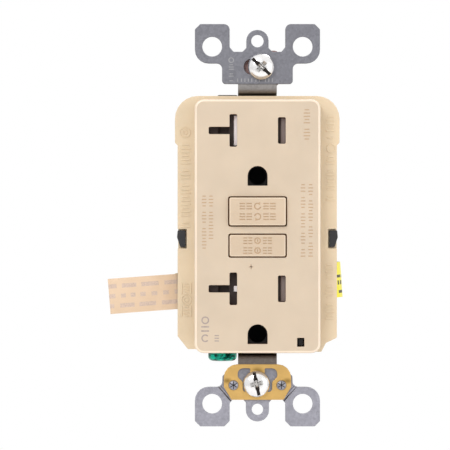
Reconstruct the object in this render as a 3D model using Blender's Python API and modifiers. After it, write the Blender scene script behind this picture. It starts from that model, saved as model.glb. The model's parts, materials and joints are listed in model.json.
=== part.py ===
"""Ground-fault duplex receptacle (20 A, decorator face) as an assembly of separate pieces.

Frame: the origin is the centre of the device in the plane of the wall, which is the back of the
mounting strap's ears. +X is to the right of someone facing the device, +Z is up along the strap
and +Y goes into the wall. Dimensions below are in millimetres and are turned into metres by MM.
"""
import math

import bmesh
import bpy
from mathutils import Matrix, Vector

MM = 0.001
GAP = 0.3                       # clearance left between pieces that touch
INSET = 0.02                    # keeps joined solids' faces from lying in one plane

# Mounting strap
STRAP_THICK = 1.3
EAR_HALF_WIDTH = 16.45          # outer edge of the plaster ears
EAR_REACH = 52.9                # outer end of the ears, from the centre
EAR_HOLE = (11.9, 46.95, 2.6)   # x, |z| and radius of the big hole in each ear
SCREW_SPACING = 83.3            # between the two mounting screws
PLATE_SPACING = 96.84           # between the two wall-plate screw holes
STRIP_HALF_WIDTH = 4.0          # the strap's run inside the housing
STRIP_FRONT = 5.0               # its front face

# Housing
FACE_HALF_WIDTH = 16.5
FACE_TOP = 33.0
FACE_BOTTOM = -33.5
FACE_FRONT = -8.2
FACE_WALL = 2.0
FLANGE_FRONT = -1.0
COVER_BACK = 4.7
BODY_HALF_WIDTH = 19.8
BODY_TOP = 33.2
BODY_BOTTOM = -32.2
BODY_FRONT = 5.0
BODY_BACK = 28.5
BODY_WALL = 1.8
POST = (14.6, 27.0, 2.4)        # x, |z| and radius of the posts that the housing screws enter
POST_END = 24.4

# Outlets
BLADE_X = 6.35                  # half of the 12.7 mm blade spacing
OUTLET_Z = {"upper": 24.8, "lower": -16.65}
GROUND_DROP = 11.9              # ground hole below its outlet's blades
GROUND_RADIUS = 2.6

# Buttons
RESET_Z = 3.6
RESET_SIZE = (14.8, 7.3)
RESET_FRONT = -9.8
TEST_Z = -5.35
TEST_SIZE = (14.7, 5.7)
TEST_FRONT = -8.45
BUTTON_CLEARANCE = 0.3

# Terminals
TERMINAL_Z = 14.5               # above and below the centre
TERMINAL_Y = 16.0
TERMINAL_PLATE = (13.6, 14.6)   # |x| of the terminal plates' faces
CLAMP_PLATE = (17.4, 18.6)      # |x| of the clamp plates' faces, screws backed out
SCREW_HEAD = (18.9, 20.9)       # |x| of the screw heads, screws backed out

# Circuit board and mechanism
BOARD = (14.0, 15.6)
CORE_Z = 17.6
PLUNGER_Y = 20.4

PARTS = "receptacle"
CUTTERS = "cutters"

IVORY = (0.86, 0.80, 0.66)
IVORY_BUTTON = (0.88, 0.82, 0.69)
BLACK = (0.02, 0.02, 0.022)
FRAME_WHITE = (0.80, 0.80, 0.78)
ZINC = (0.55, 0.56, 0.57)
NICKEL = (0.75, 0.74, 0.70)
BRASS = (0.72, 0.56, 0.24)
COPPER = (0.80, 0.52, 0.32)
GREEN = (0.05, 0.33, 0.16)
FIBRE_RED = (0.62, 0.16, 0.14)
BOARD_GREEN = (0.05, 0.25, 0.10)
FERRITE = (0.10, 0.10, 0.11)
CLEAR = (0.85, 0.90, 0.85)
TAPE = (0.80, 0.66, 0.46)
VARISTOR_BLUE = (0.05, 0.20, 0.50)


# ---------------------------------------------------------------------------------------------
# Scene, materials and collections

def start_scene():
    for old in list(bpy.data.objects):
        bpy.data.objects.remove(old, do_unlink=True)
    for name in (PARTS, CUTTERS):
        group = bpy.data.collections.new(name)
        bpy.context.scene.collection.children.link(group)


def material(name, colour, roughness, metallic):
    made = bpy.data.materials.get(name)
    if made is None:
        made = bpy.data.materials.new(name)
        made.use_nodes = True
        shader = made.node_tree.nodes["Principled BSDF"]
        shader.inputs["Base Color"].default_value = (*colour, 1.0)
        shader.inputs["Roughness"].default_value = roughness
        shader.inputs["Metallic"].default_value = metallic
    return made


def place(name, mesh):
    made = bpy.data.objects.new(name, mesh)
    bpy.data.collections[PARTS].objects.link(made)
    return made


def finish(piece, colour, roughness=0.5, metallic=0.0, smooth=True):
    piece.data.materials.clear()
    piece.data.materials.append(material(piece.name, colour, roughness, metallic))
    if smooth:
        piece.data.shade_smooth()
        piece.data.set_sharp_from_angle(angle=math.radians(35))
    return piece


def set_origin(piece, point):
    """Puts a moving piece's origin on its joint."""
    point = Vector(point) * MM
    piece.data.transform(piece.matrix_basis)
    piece.data.transform(Matrix.Translation(-point))
    piece.matrix_basis = Matrix.Translation(point)


# ---------------------------------------------------------------------------------------------
# Solids

def boxes(name, corners):
    """One object with a box for each (low, high) pair of opposite corners."""
    shape = bmesh.new()
    for low, high in corners:
        low = Vector(low) * MM
        high = Vector(high) * MM
        size = [abs(high[i] - low[i]) for i in range(3)]
        centre = Matrix.Translation((low + high) / 2)
        bmesh.ops.create_cube(shape, size=1.0, matrix=centre @ Matrix.Diagonal((*size, 1.0)))
    return from_bmesh(name, shape)


def rods(name, ends, radius, sides=20):
    """One object with a cylinder for each (start, end) pair of points."""
    shape = bmesh.new()
    for start, end in ends:
        start = Vector(start) * MM
        end = Vector(end) * MM
        turn = (end - start).to_track_quat("Z", "X").to_matrix().to_4x4()
        bmesh.ops.create_cone(
            shape, cap_ends=True, segments=sides, radius1=radius * MM, radius2=radius * MM,
            depth=(end - start).length, matrix=Matrix.Translation((start + end) / 2) @ turn)
    return from_bmesh(name, shape)


def from_bmesh(name, shape):
    mesh = bpy.data.meshes.new(name)
    shape.to_mesh(mesh)
    shape.free()
    return place(name, mesh)


def rounded(corners, steps=4):
    """An outline with its corners rounded: each corner is (u, v) or (u, v, radius)."""
    outline = []
    count = len(corners)
    for i, corner in enumerate(corners):
        here = Vector(corner[:2])
        radius = corner[2] if len(corner) > 2 else 0.0
        if radius == 0.0:
            outline.append(here)
            continue
        before = (Vector(corners[i - 1][:2]) - here).normalized()
        after = (Vector(corners[(i + 1) % count][:2]) - here).normalized()
        half = before.angle(after) / 2
        centre = here + (before + after).normalized() * radius / math.sin(half)
        start = here + before * radius / math.tan(half) - centre
        end = here + after * radius / math.tan(half) - centre
        sweep = start.angle_signed(end)
        for step in range(steps + 1):
            turn = Matrix.Rotation(-sweep * step / steps, 2)
            outline.append(centre + turn @ start)
    return outline


def circle(u, v, radius, sides=20):
    return [Vector((u + radius * math.cos(2 * math.pi * i / sides),
                    v + radius * math.sin(2 * math.pi * i / sides))) for i in range(sides)]


def rectangle(low, high, radius=0.0, steps=4):
    return rounded([(low[0], low[1], radius), (high[0], low[1], radius),
                    (high[0], high[1], radius), (low[0], high[1], radius)], steps)


def plate(name, outlines, low, high, axis="Y"):
    """A flat piece: closed outlines, holes included, given thickness from low to high.

    The outlines are in (x, z) for axis Y, in (y, z) for axis X and in (x, y) for axis Z.
    """
    curve = bpy.data.curves.new(name, "CURVE")
    curve.dimensions = "2D"
    curve.fill_mode = "BOTH"
    curve.extrude = (high - low) / 2 * MM
    for outline in outlines:
        spline = curve.splines.new("POLY")
        spline.points.add(len(outline) - 1)
        for point, (u, v) in zip(spline.points, outline):
            point.co = (u * MM, v * MM, 0.0, 1.0)
        spline.use_cyclic_u = True
    made = as_mesh(name, curve)
    middle = (low + high) / 2 * MM
    if axis == "Y":
        made.data.transform(Matrix.Rotation(math.radians(90), 4, "X"))
        made.location.y = middle
    elif axis == "X":
        made.data.transform(Matrix(((0, 0, 1, 0), (1, 0, 0, 0), (0, 1, 0, 0), (0, 0, 0, 1))))
        made.location.x = middle
    else:
        made.location.z = middle
    return made


def as_mesh(name, curve):
    """Turns a curve into a closed mesh object."""
    guide = place(name + "_guide", curve)
    bpy.context.view_layer.update()
    graph = bpy.context.evaluated_depsgraph_get()
    mesh = bpy.data.meshes.new_from_object(guide.evaluated_get(graph))
    bpy.data.objects.remove(guide, do_unlink=True)
    shape = bmesh.new()
    shape.from_mesh(mesh)
    bmesh.ops.remove_doubles(shape, verts=shape.verts, dist=0.01 * MM)
    bmesh.ops.recalc_face_normals(shape, faces=shape.faces)
    bpy.data.meshes.remove(mesh)
    return from_bmesh(name, shape)


def turned(name, profile, axis_point, axis, steps=24):
    """A turned piece: the profile is (radius, height), run down its outer side."""
    shape = bmesh.new()
    points = [shape.verts.new((radius * MM, 0.0, height * MM)) for radius, height in profile]
    for a, b in zip(points, points[1:]):
        shape.edges.new((a, b))
    if profile[0][0] > 0:
        shape.edges.new((points[-1], points[0]))
    made = from_bmesh(name, shape)
    screw = made.modifiers.new("turn", "SCREW")
    screw.steps = steps
    screw.render_steps = steps
    screw.use_merge_vertices = True
    screw.merge_threshold = 0.00001
    made.location = Vector(axis_point) * MM
    made.rotation_mode = "QUATERNION"
    made.rotation_quaternion = Vector(axis).to_track_quat("Z", "Y")
    return made


def coil_spring(name, start, axis, length, radius, wire, turns, points_per_turn=8):
    """A compression spring with its ends wound flat."""
    curve = bpy.data.curves.new(name, "CURVE")
    curve.dimensions = "3D"
    curve.bevel_depth = wire * MM
    curve.bevel_resolution = 2
    curve.use_fill_caps = True
    count = int(turns * points_per_turn)
    spline = curve.splines.new("POLY")
    spline.points.add(count)
    closed = 0.75 / turns
    for i, point in enumerate(spline.points):
        share = i / count
        rise = min(max((share - closed) / (1 - 2 * closed), 0.0), 1.0)
        lead = 2.4 * wire * (min(share, closed) + max(share - 1 + closed, 0.0)) / closed
        height = lead + rise * (length - 4.8 * wire - 2 * wire) + wire
        angle = 2 * math.pi * turns * share
        point.co = (radius * MM * math.cos(angle), radius * MM * math.sin(angle), height * MM, 1.0)
    made = as_mesh(name, curve)
    made.location = Vector(start) * MM
    made.rotation_mode = "QUATERNION"
    made.rotation_quaternion = Vector(axis).to_track_quat("Z", "Y")
    return made


def combine(target, operation, tools):
    for tool in tools:
        bpy.data.collections[PARTS].objects.unlink(tool)
        bpy.data.collections[CUTTERS].objects.link(tool)
        tool.hide_render = True
        tool.display_type = "WIRE"
        step = target.modifiers.new(tool.name, "BOOLEAN")
        step.operation = operation
        step.solver = "EXACT"
        step.object = tool
    return target


def join(target, *tools):
    return combine(target, "UNION", tools)


def cut(target, *tools):
    return combine(target, "DIFFERENCE", tools)


def bevel(piece, width, segments=2, angle=40):
    """Rounds a piece's sharp edges; its flat faces are joined up first, so none holds them back."""
    shape = bmesh.new()
    shape.from_mesh(piece.data)
    bmesh.ops.dissolve_limit(shape, angle_limit=math.radians(1), verts=shape.verts,
                             edges=shape.edges)
    shape.to_mesh(piece.data)
    shape.free()
    step = piece.modifiers.new("edges", "BEVEL")
    step.width = width * MM
    step.segments = segments
    step.limit_method = "ANGLE"
    step.angle_limit = math.radians(angle)
    step.harden_normals = False
    return piece


def side_box(side, x_range, y_range, z_range):
    """A box's corners from |x| and a side, which is 1 on the right and -1 on the left."""
    low = (side * x_range[0], y_range[0], z_range[0])
    high = (side * x_range[1], y_range[1], z_range[1])
    return low, high


# ---------------------------------------------------------------------------------------------
# Front cover, buttons and shutters

def ground_outline(z, radius=GROUND_RADIUS):
    """The U-shaped ground hole: round on top and flat below."""
    arch = [Vector((radius * math.cos(math.pi * i / 10), z + radius * math.sin(math.pi * i / 10)))
            for i in range(11)]
    return arch + [Vector((-radius, z - radius + 0.05)), Vector((radius, z - radius + 0.05))]


def front_cover():
    flange = [(-21.7, 34.0, 6.0), (-21.7, 21.7, 0.5),
              (-21.0, 21.0, 0.3), (-21.0, -29.2, 0.6), (-18.3, -32.6, 0.6), (-15.6, -32.6, 0.6),
              (-14.2, -33.3, 0.6), (16.8, -33.3, 0.3), (18.0, -31.0, 0.8), (20.9, -29.6, 0.6),
              (20.9, 21.0, 0.3), (21.6, 21.7, 0.5), (21.6, 34.0, 6.0)]
    cover = plate("front_cover", [rounded(flange, 6)], FLANGE_FRONT, COVER_BACK)
    inside = [(-14.6, 32.2), (-18.0, 29.2), (-19.6, 26.4), (-19.2, 21.0), (-19.2, -28.6),
              (-17.4, -31.0), (14.9, -31.0), (16.2, -29.7), (19.1, -28.2), (19.1, 21.0),
              (19.6, 26.4), (18.0, 29.2), (14.6, 32.2)]
    cut(cover, plate("cover_inside", [rounded(inside)], 1.0, COVER_BACK + 1))
    face = plate("cover_face", [rectangle((-FACE_HALF_WIDTH, FACE_BOTTOM),
                                          (FACE_HALF_WIDTH, FACE_TOP), 2.4, 5)],
                 FACE_FRONT, 0.6)
    bevel(face, 0.6, 2, 60)
    join(cover, face)
    hollow = boxes("face_hollow", [((-14.6, FACE_FRONT + FACE_WALL, -32.0), (14.6, 1.2, 31.0))])
    relief = boxes("ground_relief", [((-3.6, 0.0, -32.02), (3.6, COVER_BACK + 1, -28.0))])
    cut(cover, hollow, relief)
    x, z, radius = POST
    for side_x in (1, -1):
        for side_z in (1, -1):
            post = rods("cover_post", [((side_x * x, -0.5, side_z * z),
                                        (side_x * x, POST_END, side_z * z))], radius, 16)
            join(cover, post)
    bores = rods("post_bores", [((side_x * x, 10.0, side_z * z), (side_x * x, 30.0, side_z * z))
                                for side_x in (1, -1) for side_z in (1, -1)], 1.6, 12)
    cut(cover, bores)
    for where, z in OUTLET_Z.items():
        outline = [rectangle((BLADE_X - 1.0, z - 3.45), (BLADE_X + 1.0, z + 3.45), 0.3, 2),
                   rounded([(-BLADE_X + 0.98, z - 4.25, 0.3), (-BLADE_X + 0.98, z + 4.25, 0.3),
                            (-BLADE_X - 0.98, z + 4.25, 0.3), (-BLADE_X - 0.98, z + 0.95),
                            (-12.8, z + 0.95, 0.3), (-12.8, z - 0.95, 0.3),
                            (-BLADE_X - 0.98, z - 0.95), (-BLADE_X - 0.98, z - 4.25, 0.3)], 2),
                   ground_outline(z - GROUND_DROP)]
        cut(cover, plate("slots_" + where, outline, FACE_FRONT - 1, FACE_FRONT + FACE_WALL + 1))
    openings = []
    for z, size in ((RESET_Z, RESET_SIZE), (TEST_Z, TEST_SIZE)):
        half = [value / 2 + BUTTON_CLEARANCE for value in size]
        openings.append(rectangle((-half[0], z - half[1]), (half[0], z + half[1]), 0.55, 3))
    openings.append(rectangle((10.37, -31.8), (12.23, -29.5), 0.0))
    cut(cover, plate("button_openings", openings, FACE_FRONT - 1, FACE_FRONT + FACE_WALL + 1))
    notches = boxes("hook_notches", [side_box(side, (18.6, 23.0), (-2.0, 6.0), (-6.1, -1.0))
                                     for side in (1, -1)])
    cut(cover, notches)
    return finish(cover, IVORY, 0.35)


def button(name, z, size, front, back, side_height):
    """A button: a rounded cap with a lug on each side that stops it behind the face."""
    low = (-size[0] / 2, z - size[1] / 2)
    high = (size[0] / 2, z + size[1] / 2)
    cap = plate(name, [rectangle(low, high, 0.45, 3)], front, back)
    bevel(cap, 0.35, 2, 60)
    lugs = boxes(name + "_lugs", [((-8.9, -5.7, z - side_height), (8.9, -4.5, z + side_height))])
    join(cap, lugs)
    set_origin(cap, (0, front, z))
    return finish(cap, IVORY_BUTTON, 0.35)


def buttons():
    button("reset_button", RESET_Z, RESET_SIZE, RESET_FRONT, -3.0, 2.4)
    button("test_button", TEST_Z, TEST_SIZE, TEST_FRONT, -3.6, 1.8)
    finish(coil_spring("reset_spring", (0, -2.7, RESET_Z), (0, 1, 0), 7.3, 2.3, 0.18, 5),
           NICKEL, 0.3, 1.0)
    finish(coil_spring("test_spring", (0, -3.3, TEST_Z), (0, 1, 0), 7.9, 1.9, 0.15, 5),
           NICKEL, 0.3, 1.0)
    profile = [(0.0, 24.7), (1.2, 24.7), (1.2, 21.0), (0.8, 20.6), (0.8, 19.4), (1.2, 19.0),
               (1.2, 1.0), (1.7, 1.0), (1.7, 0.0), (0.0, 0.0)]
    pin = turned("reset_pin", profile, (0, -2.7, RESET_Z), (0, 1, 0), 16)
    finish(pin, NICKEL, 0.3, 1.0)


def shutters():
    """A sliding shutter behind each outlet's blade slots, its retainer and its spring."""
    for where, z in OUTLET_Z.items():
        shutter = plate("shutter_" + where, [
            rectangle((-13.2, z - 4.4), (9.5, z + 4.4), 0.6, 2),
            rectangle((2.45, z - 3.6), (5.05, z + 3.6)),
            rectangle((-10.3, z - 4.0), (-7.6, z + 4.0))], -5.9, -3.4)
        set_origin(shutter, (0, -4.65, z))
        finish(shutter, FRAME_WHITE, 0.4)
        retainer = plate("shutter_retainer_" + where, [
            rectangle((-14.2, z - 5.4), (14.2, z + 5.4), 0.8, 2),
            rectangle((5.0, z - 3.7), (7.7, z + 3.7)),
            rectangle((-13.1, z - 4.5), (-5.0, z + 4.5))], -3.1, -1.9)
        finish(retainer, FRAME_WHITE, 0.5)
        spring = coil_spring("shutter_spring_" + where, (9.8, -4.65, z), (1, 0, 0), 4.5, 0.95,
                             0.11, 5)
        finish(spring, NICKEL, 0.3, 1.0)


# ---------------------------------------------------------------------------------------------
# Mounting strap and what is fastened to it

def ear_outline(tab, foot, chamfer_inner):
    """One end of the strap, pointing up: two ears, the middle tab and the plate below them.

    The tab is (half width, reach) and the foot is the right-hand corners of the plate's inner end.
    """
    half_tab, tab_reach = tab
    inner = 7.3
    half = [(half_tab, tab_reach, half_tab - 0.1), (half_tab, 46.6, 0.5),
            (half_tab + 1.0, 45.6, 0.5), (inner - 1.0, 45.6, 0.6), (inner, 46.8, 0.6)]
    if chamfer_inner:
        half += [(inner, EAR_REACH - 1.4), (inner + 1.4, EAR_REACH)]
    else:
        half += [(inner, EAR_REACH, 1.5)]
    half += [(EAR_HALF_WIDTH - 1.4, EAR_REACH), (EAR_HALF_WIDTH, EAR_REACH - 1.4),
             (EAR_HALF_WIDTH, 42.5, 3.6), (9.3, 42.5, 1.4)] + foot
    left = [(-corner[0], *corner[1:]) for corner in reversed(half)]
    return rounded(half + left, 5)


def flipped(outline):
    return [Vector((u, -v)) for u, v in outline]


def oblong(u, v, half_length, radius, sides=8):
    """A slot along u with round ends."""
    right = [Vector((u + half_length - radius + radius * math.cos(math.pi * (i / sides - 0.5)),
                     v + radius * math.sin(math.pi * (i / sides - 0.5)))) for i in range(sides + 1)]
    left = [Vector((2 * u - point[0], 2 * v - point[1])) for point in right]
    return right + left


def mounting_strap():
    x, z, radius = EAR_HOLE
    screw_z = SCREW_SPACING / 2
    plate_z = PLATE_SPACING / 2
    upper = [ear_outline((2.93, 51.35), [(9.3, 37.1, 0.9)], False), circle(-x, z, radius, 24),
             circle(x, z, radius, 24), circle(0, plate_z, 1.65, 16),
             oblong(0, screw_z, 3.6, 2.05)]
    lower = [ear_outline((3.05, 51.6), [(9.2, 39.7, 0.4), (6.2, 36.7, 0.4)], True),
             circle(-x, z, radius, 24), circle(x, z, radius, 24),
             circle(0, plate_z, 1.5, 16), oblong(0, screw_z, 3.0, 2.05),
             circle(6.3, 42.05, 1.1, 12), circle(-6.3, 42.05, 1.1, 12)]
    strap = plate("mounting_strap", upper, -STRAP_THICK, 0)
    join(strap, plate("strap_lower_end", [flipped(line) for line in lower], -STRAP_THICK, 0))
    front = STRIP_FRONT
    back = STRIP_FRONT + STRAP_THICK
    top_in, top_out = 34.3, 35.6
    low_in, low_out = -33.7, -35.0
    ear_front = -STRAP_THICK + INSET
    run = [(ear_front, 38.5), (ear_front, top_in, 1.6), (front, top_in, 0.6),
           (front, low_in, 0.6), (ear_front, low_in, 1.6), (ear_front, -38.5),
           (-INSET, -38.5), (-INSET, low_out, 0.4), (back, low_out, 1.6), (back, top_out, 1.6),
           (-INSET, top_out, 0.4), (-INSET, 38.5)]
    neck = plate("strap_run", [rounded(run)], -5.1, 5.1, "X")
    waist = boxes("strap_waist", [((STRIP_HALF_WIDTH, 3.0, low_in + 1.2), (7.0, 8.0, top_in - 1.2)),
                                  ((-7.0, 3.0, low_in + 1.2), (-STRIP_HALF_WIDTH, 8.0, top_in - 1.2))])
    cut(neck, waist)
    join(strap, neck)
    tab_z = (-30.7, -29.4)
    arm = boxes("ground_tab_arm", [((-12.6, front + INSET, tab_z[0]),
                                    (-3.0, back - INSET, tab_z[1]))])
    tab = boxes("ground_tab", [((-12.6 + INSET, front + 0.4, tab_z[0] + INSET),
                                (-5.8, 13.6, tab_z[1] - INSET))])
    join(strap, arm, tab)
    holes = rods("strap_holes", [((0, 3, RESET_Z), (0, 9, RESET_Z))], 1.8, 16)
    score_y = -STRAP_THICK - 0.05
    scores = [((side * 10.1, score_y, -42.2), (side * 6.5, score_y, -46.4)) for side in (-1, 1)]
    cut(strap, holes, rods("ground_tab_hole", [((-9.2, 10.5, -33), (-9.2, 10.5, -27))], 2.3, 16),
        rods("ear_scores", scores, 0.42, 8))
    return finish(strap, ZINC, 0.35, 1.0)


def grounding_clip():
    """The self-grounding clip: a sheet with a keyhole window and a tongue beside the screw."""
    low_corner = 45.9 - 3.4
    outer = [(-8.85, 36.55, 3.5), (8.85, 36.55, 3.5), (8.85, low_corner, 0.5), (6.85, 45.9, 0.5),
             (-6.85, 45.9, 0.5), (-8.85, low_corner, 0.5)]
    window = [(1.9, 37.6, 0.3), (5.2, 37.6, 1.4), (5.2, 39.9, 0.9), (3.85, 41.2, 0.6),
              (3.85, 43.8, 0.8), (-3.85, 43.8, 0.8), (-3.85, 41.2, 0.6), (-5.2, 39.9, 0.9),
              (-5.2, 37.6, 1.4), (-1.9, 37.6, 0.3), (-1.9, 39.3, 0.3), (1.9, 39.3, 0.3)]
    outlines = [rounded(outer, 4), rounded(window, 3), circle(6.3, 42.05, 1.1, 12),
                circle(-6.3, 42.05, 1.1, 12)]
    clip = plate("grounding_clip", [flipped(line) for line in outlines], -2.1, -1.6)
    finish(clip, BRASS, 0.3, 1.0)
    for side, name in ((-1, "clip_rivet_left"), (1, "clip_rivet_right")):
        profile = [(0.0, 2.9), (0.7, 2.9), (1.2, 2.6), (1.2, 2.4), (0.8, 2.4), (0.8, 0.2),
                   (0.0, 0.2)]
        rivet = turned(name, profile, (side * 6.3, 0, -42.05), (0, -1, 0), 12)
        finish(rivet, ZINC, 0.4, 1.0)


def mounting_screws():
    """The two screws that hold the device to its box, and the fibre washers that keep them."""
    places = {"upper": (1.0, SCREW_SPACING / 2, -1.6), "lower": (-0.25, -SCREW_SPACING / 2, -2.4)}
    for where, (x, z, seat) in places.items():
        profile = [(0.0, 26.0), (1.1, 26.0), (1.72, 25.2), (1.72, 0.0), (3.5, 0.0), (3.5, -0.9),
                   (2.7, -1.9), (1.3, -2.25), (0.0, -2.3)]
        profile = [(radius, -height) for radius, height in reversed(profile)]
        screw = turned(where + "_mounting_screw", profile, (x, seat, z), (0, -1, 0), 20)
        slot = boxes(where + "_screw_slot", [((x - 4, seat - 3.5, z - 0.55),
                                              (x + 4, seat - 1.2, z + 0.55))])
        cut(screw, slot)
        finish(screw, NICKEL, 0.22, 1.0)
        half, shift = (4.7, -0.4) if where == "upper" else (4.0, 0.2)
        outline = [rectangle((x - half, z - half + shift), (x + half, z + half + shift), 1.2, 3),
                   circle(x, z, 2.1, 16)]
        washer = plate(where + "_screw_retainer", outline, 0.3, 1.1)
        set_origin(washer, (x, 0.7, z))
        finish(washer, FIBRE_RED, 0.7)


def ground_screw():
    profile = [(0.0, 7.6), (1.3, 7.6), (2.0, 6.9), (2.0, 2.5), (3.8, 2.5), (3.8, 1.0), (3.1, 0.0),
               (0.0, 0.0)]
    screw = turned("ground_screw", profile, (-9.2, 10.5, -36.0), (0, 0, 1), 20)
    cut(screw, boxes("ground_screw_slot", [((-14, 9.95, -37), (-4, 11.05, -34.9))]))
    return finish(screw, GREEN, 0.3, 0.6)


def ground_contacts():
    for where, z in OUTLET_Z.items():
        z -= GROUND_DROP
        profile = [(2.6, 7.7), (3.1, 7.7), (3.1, 0.0), (1.0, 0.0), (1.0, 0.5), (2.6, 0.5)]
        contact = turned("ground_contact_" + where, profile, (0, STRIP_FRONT - GAP, z), (0, -1, 0),
                         20)
        cut(contact, boxes("ground_slit_" + where, [((-4, -4, z - 0.3), (-2, 3.4, z + 0.3))]))
        finish(contact, BRASS, 0.3, 1.0)


# ---------------------------------------------------------------------------------------------
# Back body, frame and fasteners

def back_body():
    half, top, bottom = BODY_HALF_WIDTH, BODY_TOP, BODY_BOTTOM
    outline = [(-15.2, top, 0.8), (-19.0, 29.8, 1.5), (-half, 27.5, 0.8), (-half, -28.9, 0.6),
               (-17.0, bottom, 0.6), (15.6, bottom, 0.6), (17.0, -30.6, 0.6), (half, -29.2, 0.6),
               (half, 27.5, 0.8), (19.0, 29.8, 1.5), (15.2, top, 0.8)]
    body = plate("back_body", [rounded(outline, 3)], BODY_FRONT, BODY_BACK)
    bevel(body, 0.8, 1, 60)
    inside = [(-14.4, 31.4), (-17.4, 28.8), (-18.0, 27.0), (-18.0, -28.6), (-16.2, -31.0),
              (14.8, -31.0), (16.1, -29.3), (18.0, -28.0), (18.0, 27.0), (17.4, 28.8),
              (14.4, 31.4)]
    floor = BODY_BACK - BODY_WALL
    cut(body, plate("body_inside", [rounded(inside)], BODY_FRONT - 1, floor))
    webs = []
    windows = []
    for side in (1, -1):
        for level in (TERMINAL_Z, -TERMINAL_Z):
            for edge in (5.0, -6.4):
                webs.append(side_box(side, (12.6, 18.6), (8.6, floor + 0.6),
                                     (level + edge, level + edge + 1.4)))
            windows.append(side_box(side, (17.0, 21.0), (9.6, 22.4), (level - 5.0, level + 5.0)))
    join(body, boxes("body_webs", webs))
    cut(body, boxes("terminal_windows", windows))
    for side, name in ((1, "hook_right"), (-1, "hook_left")):
        hook = [(18.9, -1.35, 0.2), (21.0, -1.35, 0.3), (21.15, -3.2, 0.4), (20.3, -5.75, 0.3),
                (18.9, -5.75, 0.2)]
        outline = rounded([(side * u, v, r) for u, v, r in hook], 2)
        join(body, plate(name, [outline], -0.7, 6.4))
    join(body, boxes("body_top_rib", [((-10.4, 6.0, 32.5), (-5.3, 12.0, 34.4))]))
    x, z = POST[:2]
    bosses = rods("screw_bosses", [((a * x, POST_END + GAP, b * z), (a * x, floor + 0.5, b * z))
                                   for a in (1, -1) for b in (1, -1)], 3.5, 16)
    join(body, bosses)
    ends = [((a * x, BODY_BACK + 1, b * z), (a * x, 20.0, b * z)) for a in (1, -1) for b in (1, -1)]
    sinks = [((a * x, BODY_BACK + 1, b * z), (a * x, floor - 0.1, b * z))
             for a in (1, -1) for b in (1, -1)]
    cut(body, rods("screw_holes", ends, 1.6, 12))
    cut(body, rods("screw_sinks", sinks, 2.75, 16))
    wires = [((a * 16.0, 24.0, b * TERMINAL_Z + c), (a * 16.0, 31.0, b * TERMINAL_Z + c))
             for a in (1, -1) for b in (1, -1) for c in (3.1, -3.1)]
    cut(body, rods("wire_holes", wires, 1.3, 12))
    passages = boxes("strap_passages", [((-5.6, 3.0, 30.0), (5.6, 6.65, 36.0)),
                                        ((-5.6, 3.0, -36.0), (5.6, 6.65, -30.0))])
    ground_way = rods("ground_screw_hole", [((-9.2, 10.5, -35), (-9.2, 10.5, -30.9))], 2.4, 16)
    cut(body, passages, ground_way)
    return finish(body, BLACK, 0.5)


def housing_screws():
    x, z = POST[:2]
    number = 1
    for a in (-1, 1):
        for b in (1, -1):
            profile = [(0.0, 14.3), (0.8, 14.3), (1.3, 13.6), (1.3, 1.4), (2.4, 1.4), (2.4, 0.5),
                       (1.8, 0.0), (0.0, 0.0)]
            screw = turned("housing_screw_%d" % number, profile, (a * x, 28.3, b * z), (0, -1, 0), 12)
            finish(screw, ZINC, 0.35, 1.0)
            number += 1


def middle_frame():
    frame = plate("middle_frame", [
        rectangle((-11.8, -27.4), (11.8, 30.6), 1.0, 2), circle(0, RESET_Z, 2.0, 16),
        rectangle((9.1, -6.7), (10.3, -3.9))], 10.6, 12.2)
    ribs = boxes("frame_ribs", [((-11.0, 9.0, -1.5), (-1.5, 11.0, -0.3)),
                                ((1.5, 9.0, -1.5), (11.0, 11.0, -0.3)),
                                ((-11.0, 9.0, 8.0), (-1.5, 11.0, 9.2)),
                                ((1.5, 9.0, 8.0), (11.0, 11.0, 9.2))])
    join(frame, ribs)
    return finish(frame, FRAME_WHITE, 0.5)


# ---------------------------------------------------------------------------------------------
# Terminals

def load_terminal(name, side, has_tee):
    """Screw plate, bus bar, blade contacts of both outlets and the fixed contact, in one piece."""
    near, far = TERMINAL_PLATE
    body = boxes(name, [side_box(side, (near, far), (7.6, 21.7), (-19.2, -9.8))])
    join(body, boxes(name + "_bus", [side_box(side, (near, far), (6.9, 8.3), (-19.2, 24.0))]))
    for where, z in OUTLET_Z.items():
        reach = 11.8 if where == "upper" else far - 0.4
        base = side_box(side, (4.7, reach), (7.5, 8.3), (z - 3.0, z + 3.0))
        join(body, boxes(name + "_base_" + where, [base]))
        leaves = [side_box(side, (4.7, 5.25), (-0.6, 8.0), (z - 3.0, z + 3.0)),
                  side_box(side, (7.45, 8.0), (-0.6, 8.0), (z - 3.0, z + 3.0))]
        if has_tee:
            leaves.append(side_box(side, (8.6, 11.6), (-0.6, 8.0), (z + 1.15, z + 1.7)))
            leaves.append(side_box(side, (8.6, 11.6), (-0.6, 8.0), (z - 1.7, z - 1.15)))
        join(body, boxes(name + "_leaves_" + where, leaves))
    join(body, boxes(name + "_link", [side_box(side, (11.0, far - 0.2), (7.5, 8.2), (21.9, 23.8))]))
    arm = (18.6, 19.4)
    join(body, boxes(name + "_arm", [side_box(side, (10.3, near + 0.5), arm, (-12.3, -10.1))]))
    join(body, boxes(name + "_rail", [side_box(side, (10.4, 12.2), (18.5, 19.3), (-12.1, 5.1))]))
    join(body, boxes(name + "_contact", [side_box(side, (6.6, 12.0), arm, (2.2, 5.2))]))
    hole = rods(name + "_hole", [((side * 12, TERMINAL_Y, -TERMINAL_Z),
                                  (side * 16, TERMINAL_Y, -TERMINAL_Z))], 2.3, 16)
    cut(body, hole)
    return body


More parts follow.
